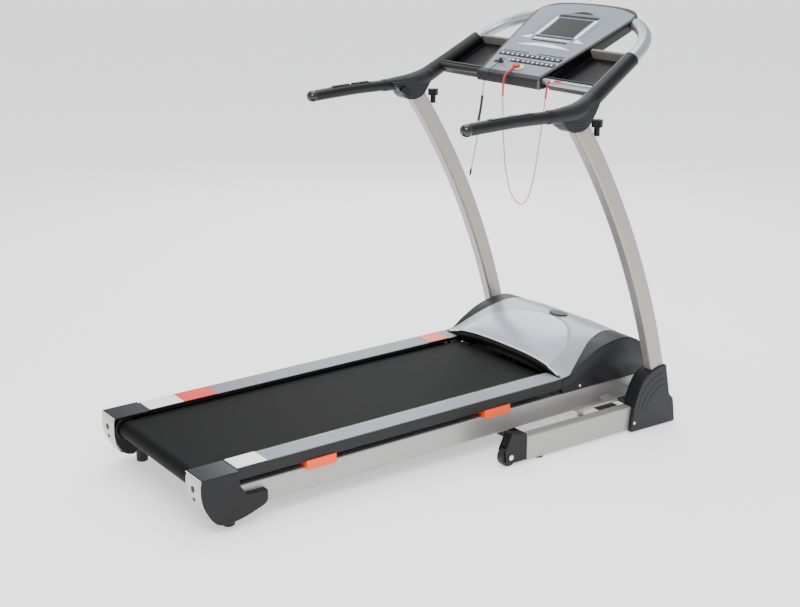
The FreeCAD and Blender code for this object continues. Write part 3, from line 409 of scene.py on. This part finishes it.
# %% Key, clip, plug
oval = disc() * (22, 13) + (8, 153)
extrude("key_base", oval, 22.6, 24.6, console, CREAM, "base", bevel=0.5)
oval = disc() * (17, 9) + (1, 152)
extrude("key_body", oval, 25.0, 33.0, console, RED_ABS, "pull_key", bevel=2.5,
        stands_for=["safety_key"])
clip_path = console(np.array([203.5, 212, 228, 244, 259]), np.array([120.5, 120.8, 121, 121.2, 121.5]),
                    np.array([16.0, 16, 15.6, 15.4, 15]))
clip = tube("clip", clip_path, (3.2, 4.6, 5.2, 4.0, 2.2), RED_ABS, "pull_key",
            stands_for=["lanyard_clip"])
clip_joint = tube("clip_joint", console(np.array([196.0, 204]), np.array([115.0, 120]),
                                        np.array([18.5, 16.2])), 3.6, FACE_LIGHT, "pull_key")
plug = tube("plug", console(-92.0, np.array([162.8, 164, 168, 172]), np.array([25.2, 28, 30.5, 31])),
            (3.0, 4.6, 5.4, 4.8), BLACK_CORD, "base", stands_for=["lead_plug"])
lead_tip = tube("lead_tip", base(np.array([-149.5, -151, -154, -156.5]), 1249.0,
                                 np.array([787.0, 782, 770, 761])), (1.6, 3.4, 3.4, 1.8),
                BLACK_CORD, "base", stands_for=["lead_end"])

# %% [markdown]
# ## Hood
# The silver shell spans the deck. Its height over the middle follows one curve along the deck, and it
# falls away to each side with the fourth power of the distance across. Inside an ellipse that starts
# at the lip the surface is 3 mm higher, which makes the raised centre panel.

# %% Hood shell
HOOD_STATIONS = np.array([1266, 1300, 1360, 1430, 1500, 1560, 1600, 1622, 1630, 1628])
HOOD_HEIGHTS = np.array([218, 234, 257, 274, 282, 276, 256, 220, 170, 130])
HOOD_HALVES = np.array([303, 303, 276, 246, 232, 226, 222, 220, 220, 220])
HOOD_EDGE_HEIGHTS = np.array([188, 193, 231, 268, 284, 272, 246, 208, 160, 130])


def hood_surface(rows=90, columns=120):
    """Rows follow the centre curve; the edge's height is blended in by |s| to the power 4."""
    centre = smooth_line(np.stack([HOOD_STATIONS, HOOD_HEIGHTS, HOOD_HALVES, HOOD_EDGE_HEIGHTS], -1),
                         rows)
    share = np.sin(np.linspace(-1, 1, columns) * math.pi / 2 * 0.94) / math.sin(math.pi / 2 * 0.94)
    along = np.linspace(0, 1, rows)[:, None]
    x = share[None] * centre[:, 2:3]
    station = centre[:, 0:1] + 18 * (1 - share[None] ** 2) * (1 - along) ** 2
    fall = np.abs(share[None]) ** 4
    height = centre[:, 1:2] * (1 - fall) + centre[:, 3:4] * fall
    reach = np.sqrt((x / 232) ** 2 + ((station - 1255) / 228) ** 2)
    raised = np.clip((1.0 - reach) * 228 / 7 + 0.5, 0, 1)
    height = height + 3.2 * raised * raised * (3 - 2 * raised)
    return x, station, height, reach


hood_x, hood_station, hood_height, hood_reach = hood_surface()
hood = thick_surface("hood_shell", base(hood_x, hood_station, hood_height), 3, SILVER_BORDER, "deck",
                     stands_for=["hood_cover"])
hood.data.materials.append(SILVER_ABS)
inner = (hood_reach[:-1, :-1] < 0.985).ravel()
hood.data.polygons.foreach_set("material_index", inner.astype(np.int32))
# The white bead along the hood's rear lip is a painted highlight on its edge.
lip_highlight_path = base(hood_x[0], hood_station[0] - 0.5, hood_height[0] - 2.2)
tube("hood_lip", lip_highlight_path[12:-12], 3.0, EDGE_HIGHLIGHT, "deck", sides=12)
hood_back = base(hood_x[0:1], hood_station[0] + 6, hood_height[0] - np.array([[3.0], [44.0]]))
thick_surface("hood_lip_web", hood_back, 2, BLACK_ABS, "deck")
print("hood shell:", hood_x.size, "points, highest", round(float(hood_height.max()), 1))

# %% Badge
badge_outline = disc(36) * (38, 24)
badge_x, badge_station = badge_outline[:, 0], badge_outline[:, 1] + 1516
badge_rise = np.interp(badge_station, HOOD_STATIONS, HOOD_HEIGHTS)
loft("hood_badge", [base(badge_x, badge_station, badge_rise - 4),
                    base(badge_x, badge_station, badge_rise + 5.5)], BADGE, "deck", bevel=0.8)

# %% [markdown]
# Each dark side cover has a shoulder beside the silver shell, then a crease, and below the crease a
# face set 2 mm further in.

# %% Hood side covers
SIDE_STATIONS = np.array([1266, 1300, 1345, 1418, 1504, 1560, 1600, 1622, 1630])
SIDE_CREASE = np.array([186, 192, 222, 259, 276, 268, 246, 208, 170])
for name, side in SIDES:
    curve = smooth_line(np.stack([SIDE_STATIONS, SIDE_CREASE], -1), 60)
    station, crease = curve[:, 0:1], curve[:, 1:2]
    seam = np.interp(station, HOOD_STATIONS[:9], HOOD_HALVES[:9])
    seam_height = np.interp(station, HOOD_STATIONS[:9], HOOD_EDGE_HEIGHTS[:9])
    across = np.hstack([seam - 6, seam - 1, (seam + 306) / 2, 306 + 0 * seam, 309.6 + 0 * seam,
                        310 + 0 * seam, 308.2 + 0 * seam, 307.8 + 0 * seam, 307.6 + 0 * seam])
    height = np.hstack([seam_height - 5, seam_height + 0.5, (seam_height + crease) / 2 + 2, crease + 2,
                        crease - 2, crease - 5, crease - 7, np.maximum(crease - 24, 150),
                        141 + 0 * crease])
    thick_surface(f"hood_side_{name}_shell", base(side * across, station + 0 * across, height),
                  3, DARK_ABS, "deck", stands_for=[f"hood_side_{name}"])
    end_outline = rounded([(236, 150), (307, 141), (308, 182), (300, 187), (262, 186), (236, 182)], 3)
    extrude(f"hood_side_{name}_end", end_outline, 1265.0, 1268.0,
            lambda u, v, depth, side=side: base(side * u, depth, v), DARK_ABS, "deck", bevel=0.8)
    spot = disc(16) * 4.2 + (1339, 152)
    extrude(f"hood_screw_{name}", spot, side * 306.5, side * 309.6, base_side, BRIGHT_BOLT,
            "deck", bevel=1.0)
print("side covers:", len(curve), "rows each")

# %% [markdown]
# ## Rear caps and end plates
# The cap's side outline has a flat top, a bowed back and a low wing under the rail. A short rubber
# foot stands under each cap.

# %% Rear caps
CAP_OUTLINE = rounded([(2, 171), (-4, 150), (-3.5, 118), (8, 78), (24, 48), (46, 28), (80, 25),
                       (130, 34), (188, 54), (197, 66), (197, 96), (132, 98), (112, 129), (112, 171)],
                      [6, 20, 20, 20, 16, 12, 12, 16, 8, 5, 4, 4, 4, 3])
for name, side in SIDES:
    extrude(f"rear_cap_{name}_body", CAP_OUTLINE, side * 290, side * 320, deck_side, BLACK_ABS,
            "deck", bevel=5, stands_for=[f"rear_cap_{name}"])
    block_outline = rounded([(1, 171), (-4, 150), (-3.5, 118), (8, 78), (26, 48), (60, 40), (98, 98),
                             (112, 129), (112, 171)], [6, 20, 20, 20, 16, 10, 8, 4, 3])
    extrude(f"rear_cap_{name}_block", block_outline, side * 240, side * 291, deck_side,
            BLACK_ABS, "deck", bevel=3)
    extrude(f"rear_foot_{name}", disc(28) * 17.5 + (side * 273, 96), 0.4, 45.0, deck, TYRE, "deck",
            bevel=3)
    top_outline = rounded([(0.5, 171.2), (-2, 164), (110, 163), (112, 171.2)], 2)
    extrude(f"rear_cap_{name}_top", top_outline, side * 228, side * 319.5, deck_side, BLACK_ABS,
            "deck", bevel=2.5)
    turn = np.linspace(math.radians(60), math.radians(300), 40)
    lip_line = deck(side * 231.5, 34 + 31 * np.cos(turn), 132.5 + 31 * np.sin(turn))
    tube(f"roller_lip_{name}", lip_line, 3.4, BLACK_ABS, "deck", sides=10)
    cheek_turn = disc(36) * 31 + (34, 132.5)
    extrude(f"roller_cheek_{name}", cheek_turn, side * 231, side * 242, deck_side, BLACK_ABS,
            "deck", bevel=1.5)

# %% End plates
PLATE_HEIGHTS = np.array([168.0, 155, 140, 120, 100, 80, 62, 46, 33, 25])
PLATE_INNER = np.array([233, 232, 232, 234, 239, 247, 258, 271, 286, 297.0])
PLATE_BACK = np.interp(PLATE_HEIGHTS[::-1], [25, 48, 78, 100, 118, 150, 171],
                       [44, 24.5, 6.5, -1.2, -4.6, -5.4, -0.4])[::-1]
for name, side in SIDES:
    line = smooth_line(np.stack([PLATE_BACK, PLATE_HEIGHTS, PLATE_INNER], -1), 40)
    share = np.linspace(0, 1, 14)[None]
    across = line[:, 2:3] * (1 - share) + 317.5 * share
    bow = 1.4 * (1 - (2 * share - 1) ** 4)
    skin = deck(side * across, line[:, 0:1] - bow, line[:, 1:2] + 0 * share)
    thick_surface(f"end_plate_{name}", skin if side > 0 else skin[:, ::-1], 2.2, ZINC, "deck",
                  stands_for=["end_plates"] if side > 0 else ())
    for label, height, radius, back in (("upper", 134, 9.5, -7.8), ("lower", 106, 7.0, -4.8)):
        extrude(f"plate_{label}_hole_{name}", disc(24) * radius + (side * 275, height), back, back + 6,
                lambda u, v, depth: deck(u, depth, v), BLACK_ABS, "deck")
    extrude(f"adjuster_{name}", disc(6) * 5.4 + (side * 275, 134), -9.2, -3.0,
            lambda u, v, depth: deck(u, depth, v), CAST_IRON, "deck", bevel=0.5,
            stands_for=["adjuster_bolts"] if side > 0 else ())
    # The white line along the top edge of the end plate is a painted highlight.
    tube(f"cap_edge_highlight_{name}", deck(side * np.array([230, 260, 290, 317.0]), -2.2, 169.6), 1.3,
         EDGE_HIGHLIGHT, "deck", sides=8)
print("rear caps:", len(CAP_OUTLINE), "outline points")

# %% [markdown]
# ## Boots
# Each boot is one moulding that leans back with the upright, with three raised waves on its face.

# %% Boots
BOOT_OUTLINE = rounded([(1457, 3), (1652, 1), (1640, 82), (1622, 98), (1600, 206), (1566, 203),
                        (1512, 184), (1482, 134), (1464, 78)], [5, 8, 8, 12, 8, 12, 26, 40, 30])
BOOT_WAVES = (((1482, 78), (1494, 112), (1516, 145), (1548, 168), (1584, 178)),
              ((1498, 70), (1510, 101), (1531, 130), (1560, 150), (1590, 158)),
              ((1515, 63), (1526, 91), (1546, 115), (1572, 132), (1596, 139)))
for name, side in SIDES:
    extrude(f"boot_{name}_shell", BOOT_OUTLINE, side * 373.5, side * 428, base_side, DARK_ABS,
            "base", bevel=7, stands_for=[f"boot_{name}"])
    for number, wave in enumerate(BOOT_WAVES):
        line = smooth_line(wave, 24)
        tube(f"boot_{name}_wave_{number}", base(side * 427.2, line[:, 0], line[:, 1]), 1.9,
             DARK_ABS, "base", sides=8)
    extrude(f"boot_bolt_{name}", disc(20) * 5 + (1468, 34), side * 426, side * 430.4, base_side,
            BRIGHT_BOLT, "base", bevel=1.5)

# %% [markdown]
# ## Grips
# Each grip is a turned bar: a domed cap, a groove, a long body and a ring where it meets the cover.

# %% Grips
GRIP_DISTANCE = np.array([0, 0.8, 3, 8, 15, 20, 24, 25, 26, 27, 60, 180, 290, 296, 297, 306, 312, 318,
                          323.4])
GRIP_SWELL = np.array([0.5, 7, 11.5, 16, 18.6, 19, 18.8, 18.2, 17.2, 18, 18, 18, 18.2, 18.6, 20.2, 21,
                       21, 20.4, 19])
for name, side in SIDES:
    start = base(side * 397, 782, 1028)
    end = base(side * 410, 1104, 1041)
    line = start + (GRIP_DISTANCE / 323.4)[:, None] * (end - start)
    line[:, 2] += 0.004 * np.sin(GRIP_DISTANCE / 323.4 * math.pi)
    tube(f"grip_{name}_rubber", line[7:], GRIP_SWELL[7:], GRIP_RUBBER, "base", sides=32,
         stands_for=[f"grip_{name}"])
    tube(f"grip_{name}_cap", line[:9], GRIP_SWELL[:9], GRIP_CAP, "base", sides=32)
    ahead = (end - start) / np.linalg.norm(end - start)
    lift = np.cross(np.cross(ahead, (0, 0, 1)), ahead)
    side_way = np.cross(ahead, lift)

    def on_grip(u, v, depth, start=start, ahead=ahead, lift=lift, side_way=side_way):
        """Across, along and above the grip's line, in mm."""
        u, v, depth = np.broadcast_arrays(u, v, depth)
        return (start + u[..., None] * side_way / 1000 + v[..., None] * ahead / 1000
                + depth[..., None] * lift / 1000)

    pad_outline = rounded([(-9.5, 88), (9.5, 88), (9.5, 248), (-9.5, 248)], 9)
    extrude(f"key_pad_{name}", pad_outline, 15.0, 21.4, on_grip, GRIP_RUBBER, "base", bevel=2.5)
    for number, near in enumerate((98, 172)):
        plate_outline = rounded([(-7, near), (7, near), (7, near + 64), (-7, near + 64)], 6)
        # The key plates are the same on both grips; the left ones drawn black with mid-grey marks are
        # painted shade, shaded copies of the right's aluminium plates and white marks.
        extrude(f"key_plate_{name}_{number}", plate_outline, 20.6, 24.4, on_grip,
                BRUSHED_ALUMINIUM if side > 0 else BLACK_ABS, f"keys_{name}", bevel=1.4,
                stands_for=[f"grip_keys_{name}"] if number == 0 else ())
        for mark in (14, 50):
            extrude(f"key_mark_{name}_{number}_{mark}", disc(3) * 3.4 + (0, near + mark), 24.2,
                    24.9, on_grip, FACE_LIGHT if side > 0 else FACE_MID, f"keys_{name}")
print("grips:", len(GRIP_DISTANCE), "turned sections")

# %% [markdown]
# ## Side covers
# The dark cover wraps the top of the upright in a round lobe with raised waves. A bent tube leads
# from the grip over the lobe, and a black sleeve goes on from it along the hoop.

# %% Side covers
LOBE_OUTLINE = rounded([(1098, 1052), (1104, 1042), (1124, 1028), (1140, 1003), (1163, 990),
                        (1198, 990), (1224, 1002), (1244, 1030), (1262, 1060), (1266, 1080),
                        (1200, 1058), (1130, 1050)],
                       [6, 10, 18, 22, 24, 24, 22, 20, 8, 8, 30, 20])
COVER_BEND = smooth_line([(410, 1098, 1041, 20.5), (411, 1118, 1042, 22), (410, 1145, 1042.5, 24.5),
                          (407, 1180, 1045, 26.5), (402, 1215, 1053, 27), (396.5, 1240, 1062, 27),
                          (392.2, 1262, 1074, 26.5)], 40)
LOBE_WAVES = (((1134, 1022), (1146, 1010), (1158, 1002), (1176, 997), (1200, 999)),
              ((1146, 1022), (1156, 1013), (1168, 1008), (1184, 1006), (1208, 1009)),
              ((1160, 1024), (1170, 1019), (1182, 1016), (1196, 1016), (1216, 1021)))
HOOP_FOOT, HOOP_REACH = (405, -12), (355, 385)
for name, side in SIDES:
    extrude(f"side_cover_{name}_lobe", LOBE_OUTLINE, side * 378, side * 428, base_side, DARK_ABS,
            "base", bevel=13, stands_for=[f"side_cover_{name}"])
    tube(f"side_cover_{name}_bend", base(side * COVER_BEND[:, 0], COVER_BEND[:, 1],
                                         COVER_BEND[:, 2]), COVER_BEND[:, 3], DARK_ABS, "base",
         sides=36)
    for number, wave in enumerate(LOBE_WAVES):
        wave_line = smooth_line(wave, 24)
        tube(f"cover_{name}_wave_{number}", base(side * 427.4, wave_line[:, 0], wave_line[:, 1]),
             2.2, DARK_ABS, "base", sides=8)
    share = np.linspace(0.2, 0.77, 14)
    sleeve_x = HOOP_FOOT[0] + (HOOP_REACH[0] - HOOP_FOOT[0]) * share
    sleeve_along = HOOP_FOOT[1] + (HOOP_REACH[1] - HOOP_FOOT[1]) * share
    swell = 24.5 + 2.2 * np.exp(-((share - 0.2) / 0.2) ** 2)
    tube(f"hoop_sleeve_{name}", console(side * sleeve_x, sleeve_along, 0), swell, BLACK_ABS,
         "base", sides=32)
    tube(f"hoop_sleeve_line_{name}", console(side * (sleeve_x[4:] - 2), sleeve_along[4:], -24.2),
         1.6, BRUSHED_ALUMINIUM, "base", sides=8)
    tongue_outline = rounded([(1120, 1024), (1150, 1000), (1166, 1004), (1150, 1040)], 8)
    extrude(f"cover_tongue_{name}", tongue_outline, side * 366, side * 380, base_side,
            BLACK_ABS, "base", bevel=4)
print("side covers:", len(LOBE_OUTLINE), "outline points")

# %% [markdown]
# ## Console
# A black housing with a silver shield-shaped face. The housing's sides lean in towards the floor, and
# a shallow open tray lies at each side.

# %% Console housing
def face_outline(inset, steps=9):
    """The shield outline, across and along: narrow at the runner's end and bowed at the far end."""
    half = smooth_line([(147, 113 + inset), (170, 206), (198, 318), (222, 425), (229, 460)], 30)
    half[:, 0] -= inset
    shoulder = smooth_line([(229 - inset, 460), (222 - inset, 484), (192 - inset, 506 - inset),
                            (150 - inset, 518 - inset), (75, 525 - inset), (0, 527 - inset)], 30)
    right = np.vstack([half, shoulder[1:]])
    return np.vstack([right, (right * (-1, 1))[-2::-1]])


FACE_FALL, FACE_NEAR, FACE_FAR = 9, 113, 524


def face_spot(x, along, above):
    """The console's plane, but falling by FACE_FALL from the face's near edge to its far edge."""
    share = (np.asarray(along) - FACE_NEAR) / (FACE_FAR - FACE_NEAR)
    return console(x, along, above - FACE_FALL * share)


outer, inner_rim = face_outline(0), face_outline(12)
squeeze = np.array([0.93, 0.96]) * outer + (0, 12)
loft("console_housing", [console(squeeze[:, 0], squeeze[:, 1], -22.0),
                         console(outer[:, 0] * 0.985, outer[:, 1] * 0.99 + 3, 2.0),
                         face_spot(outer[:, 0], outer[:, 1], 16.0),
                         face_spot(outer[:, 0], outer[:, 1], 22.0),
                         face_spot(inner_rim[:, 0], inner_rim[:, 1], 22.6)],
     BLACK_ABS, "base", bevel=2.5, stands_for=["console_shell"])
loft("console_face", [face_spot(inner_rim[:, 0], inner_rim[:, 1], 20.0),
                      face_spot(inner_rim[:, 0], inner_rim[:, 1], 23.2)], FACE_SILVER, "base",
     bevel=0.9, stands_for=["console_panel"])
lip_outline = rounded([(1268, 1073), (1300, 1078), (1300, 1104), (1272, 1106), (1267, 1100)], 5)
extrude("console_front_lip", lip_outline, -152.0, 152.0, base_side, DARK_ABS, "base",
        bevel=3)
extrude("console_lip_edge", rounded([(1266.4, 1074), (1271, 1074), (1271, 1102),
                                     (1266.4, 1101)], 1), 145.0, 152.6, base_side,
        FACE_MID, "base", bevel=1)
print("housing:", len(outer), "points around")

# %% Trays and crossbar
for name, side in SIDES:
    outside = rounded([(150, 122), (376, 122), (350, 302), (178, 302)], 12)
    inside = rounded([(155, 127), (370, 127), (345, 297), (183, 297)], 10)
    loft(f"tray_{name}", [console(side * outside[:, 0], outside[:, 1] * 0.98 + 4, -23.0),
                          console(side * outside[:, 0], outside[:, 1], 8.0),
                          console(side * inside[:, 0], inside[:, 1], 8.0),
                          console(side * inside[:, 0], inside[:, 1] * 0.98 + 4, -19.0)],
         BLACK_ABS, "base", bevel=1.5)
    wall_outline = rounded([(188, -20), (342, -20), (344, 12), (192, 12)], 6)
    # The back wall's warm grey is a painted highlight on a dark grey wall.
    extrude(f"tray_back_highlight_{name}", wall_outline, 294.0, 303.0,
            lambda u, v, depth, side=side: console(side * u, depth, v), TRAY_BACK_WITH_HIGHLIGHT, "base",
            bevel=2)
    bar_x = side * np.linspace(150, 402, 12)
    bow = 1290 - 4 * np.sin(np.linspace(0, math.pi, 12))
    # The crossbar is one silver bar. Its left half drawn dark grey is painted shade standing in for its
    # dark reflection, and the bands differ by side for the same reason.
    tube(f"crossbar_{name}", base(bar_x, bow, 1099.0), 10,
         BRUSHED_ALUMINIUM if side > 0 else DARK_ABS, "base", sides=28)
    tube(f"crossbar_band_{name}", base(bar_x, bow + 6, 1109.5), 4.5,
         BLACK_ABS if side > 0 else DARK_ABS, "base", sides=16)
    # The thin mid-grey line along the top of the left half is a painted highlight.
    if side < 0:
        tube("crossbar_left_painted_highlight", base(bar_x, bow + 1.5, 1113.2), 1.3, FACE_MID, "base",
             sides=8)
print("trays: 2")

# %% [markdown]
# The face's graphics are thin printed films: a dark display between two white bars, a row of plain
# marks, two triangles and a long white crescent. They carry no letters and no numbers.

# %% Face graphics
def film(name, outline, finish, low=23.1, high=23.55, **more):
    return extrude(name, outline, low, high, face_spot, finish, more.pop("body", "base"), **more)


def bar_film(name, x_low, x_high, near, far, finish, round_by=1.5, **more):
    corners = [(x_low, near), (x_high, near), (x_high, far), (x_low, far)]
    return film(name, rounded(corners, round_by), finish, **more)


side_bow = np.linspace(-1, 1, 12)
waist = np.stack([80 - 5 * (1 - side_bow ** 2), 382 + 48 * side_bow], -1)
lens_outline = np.vstack([waist, (waist * (-1, 1))[::-1]])
film("display_glass", lens_outline, LENS, high=24.2, bevel=0.3, stands_for=["display_lens"])
bar_film("display_frame_top", -92, 92, 436, 449, FACE_DARK)
bar_film("display_frame_bar", -80, 80, 452, 458, FACE_MID)
bar_film("display_frame_bottom", -88, 88, 320, 327, FACE_DARK)
bar_film("display_wave", -84, 84, 297, 304, FACE_DARK, 3)
arch = np.linspace(-1, 1, 30)
crescent_top = np.stack([52 * arch, 461 + 13 * (1 - arch ** 2)], -1)
film("display_arch", np.vstack([crescent_top, [(30, 461), (-30, 461)]]), FACE_DARK)
for name, side in SIDES:
    bar_corners = np.array([(85, 332), (98, 328), (98, 436), (85, 432)]) * (side, 1)
    film(f"display_bar_{name}", rounded(bar_corners, 2), FACE_LIGHT)
    film(f"face_triangle_{name}", np.array([(104, 328), (150, 310), (104, 308)]) * (side, 1), FACE_LIGHT)
    bar_film(f"face_line_{name}", *sorted((side * 116, side * 118)), 334, 452, FACE_MID)
    bar_film(f"key_line_{name}", *sorted((side * 22, side * 146)), 227, 231, FACE_DARK)
for number in range(15):
    left = 11.2 * number - 82
    bar_film(f"display_mark_{number}", left, left + 6.4, 309, 316, FACE_LIGHT, 1)
crescent = np.stack([128 * arch, 268 + 19 * (1 - arch ** 2)], -1)
film("face_crescent", np.vstack([crescent, (np.stack([128 * arch, 268 + 3 * (1 - arch ** 2)],
                                                     -1)[1:-1])[::-1]]), FACE_LIGHT)
film("socket_ring", disc(24) * 8 + (-70, 176), PINK, high=24.4, bevel=0.4)
film("socket_hole", disc(20) * 4 + (-70, 176), FACE_DARK, high=24.9)
bar_film("jack_strip", -128, -82, 160, 174, FACE_DARK, 5, high=23.8)
bar_film("upper_strip", -150, 150, 203, 221, FACE_DARK, 4)
bar_film("lower_strip", -62, 146, 174, 192, FACE_DARK, 4)
bar_film("left_strip", -128, -84, 177, 190, FACE_MID, 4)

# %% Keys
KEY_SPOTS = ([(24 * number - 132, 212) for number in range(12)]
             + [(22 * number - (44 if number > 1 else 50), 183) for number in range(9)])
for number, (key_x, key_along) in enumerate(KEY_SPOTS):
    bar_film(f"key_{number}", key_x - 8, key_x + 8, key_along - 5, key_along + 5, FACE_MID, 2.5,
             low=22.6, high=25.2, bevel=0.6, body="keys_console",
             stands_for=["console_keys"] if number == 0 else ())
    bar_film(f"key_mark_{number}", key_x - 4.5, key_x + 4.5, key_along - 1.6, key_along + 2.4,
             FACE_LIGHT, 0.5, low=25.15, high=25.5, body="keys_console")
print(len(KEY_SPOTS), "keys")

# %% [markdown]
# ## Deck details
# Plain labels lie on the tread strips.

# %% Labels
for name, x_low, x_high, rear, front, finish in (
        ("far_white", -304, -231, 114, 226, WHITE_LABEL), ("far_red", -306, -229, 226, 340, RED_LABEL),
        ("near_white", 231, 304, 114, 207, WHITE_LABEL),
        ("far_orange", -306, -229, 1150, 1226, ORANGE_LABEL)):
    outline = rounded([(x_low, rear), (x_high, rear), (x_high, front), (x_low, front)], 2)
    extrude(f"label_{name}", outline, 173.05, 173.5, deck, finish, "deck")

# %% [markdown]
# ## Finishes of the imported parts
# The parts that are shown as they were packed get the same materials as the built ones.

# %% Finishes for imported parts
FINISHES = {
    SILVER_POWDER: ["base_arm_left", "base_arm_right", "side_rail_left", "side_rail_right"],
    UPRIGHT_POWDER: ["upright_left", "upright_right"],
    BLACK_POWDER: ["base_cross_tubes", "deck_crossmembers", "motor_pan", "gas_strut_tube"],
    BRUSHED_ALUMINIUM: ["handlebar_hoop", "gas_strut_rod", "control_board"],
    STRIP: ["grip_strips"],
    ZINC: ["arm_brackets", "front_roller", "rear_roller", "roller_axles"],
    BRIGHT_BOLT: ["frame_bolts"],
    CAST_IRON: ["motor_flywheel", "drive_motor"],
    BLACK_ABS: ["wheel_forks", "star_knob_left", "star_knob_right", "power_inlet", "power_switch"],
    EXTRUSION: ["foot_rail_left", "foot_rail_right"],
    BELT: ["running_belt", "drive_belt"],
    TYRE: ["base_feet", "transport_wheel_left", "transport_wheel_right"],
    ORANGE: ["deck_cushions"],
    FIBREBOARD: ["deck_board"],
}
for finish, names in FINISHES.items():
    for name in names:
        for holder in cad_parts[name].material_slots:
            holder.link = "OBJECT"
            holder.material = finish
shown = {name for names in FINISHES.values() for name in names}
print("shown as packed:", len(shown), "parts")

# %% [markdown]
# ## Floor and light
# A pale floor that glows a little like a lit sweep, a bright soft sky and three large lights.

# %% Stage
FLOOR = material("matte paint, pale", "#fbfbfb", 0.8)
FLOOR.node_tree.nodes["Principled BSDF"].inputs["Emission Color"].default_value = linear("#ffffff")
FLOOR.node_tree.nodes["Principled BSDF"].inputs["Emission Strength"].default_value = 0.7
bpy.ops.mesh.primitive_plane_add(size=60, location=(0, 0, -0.0006))
floor = bpy.context.object
floor.name = "floor"
floor.data.materials.append(FLOOR)

world = bpy.data.worlds.new("studio")
bpy.context.scene.world = world
world.use_nodes = True
world.node_tree.nodes["Background"].inputs["Color"].default_value = linear("#f6f8fb")
world.node_tree.nodes["Background"].inputs["Strength"].default_value = 1.0


def area_light(name, spot, target, width, power):
    data = bpy.data.lights.new(name, "AREA")
    data.shape = "SQUARE"
    data.size = width
    data.energy = power
    lamp = bpy.data.objects.new(name, data)
    lamp.location = spot
    lamp.rotation_euler = (Vector(target) - Vector(spot)).to_track_quat("-Z", "Y").to_euler()
    bpy.context.scene.collection.objects.link(lamp)


area_light("key", (2.6, -1.8, 3.6), (0, 0, 0.3), 2.0, 110)
area_light("top", (-0.6, 0.6, 4.0), (0, 0.2, 0.3), 3.0, 100)
area_light("rim", (-3.0, 2.2, 2.2), (0, 0.3, 0.6), 2.0, 45)
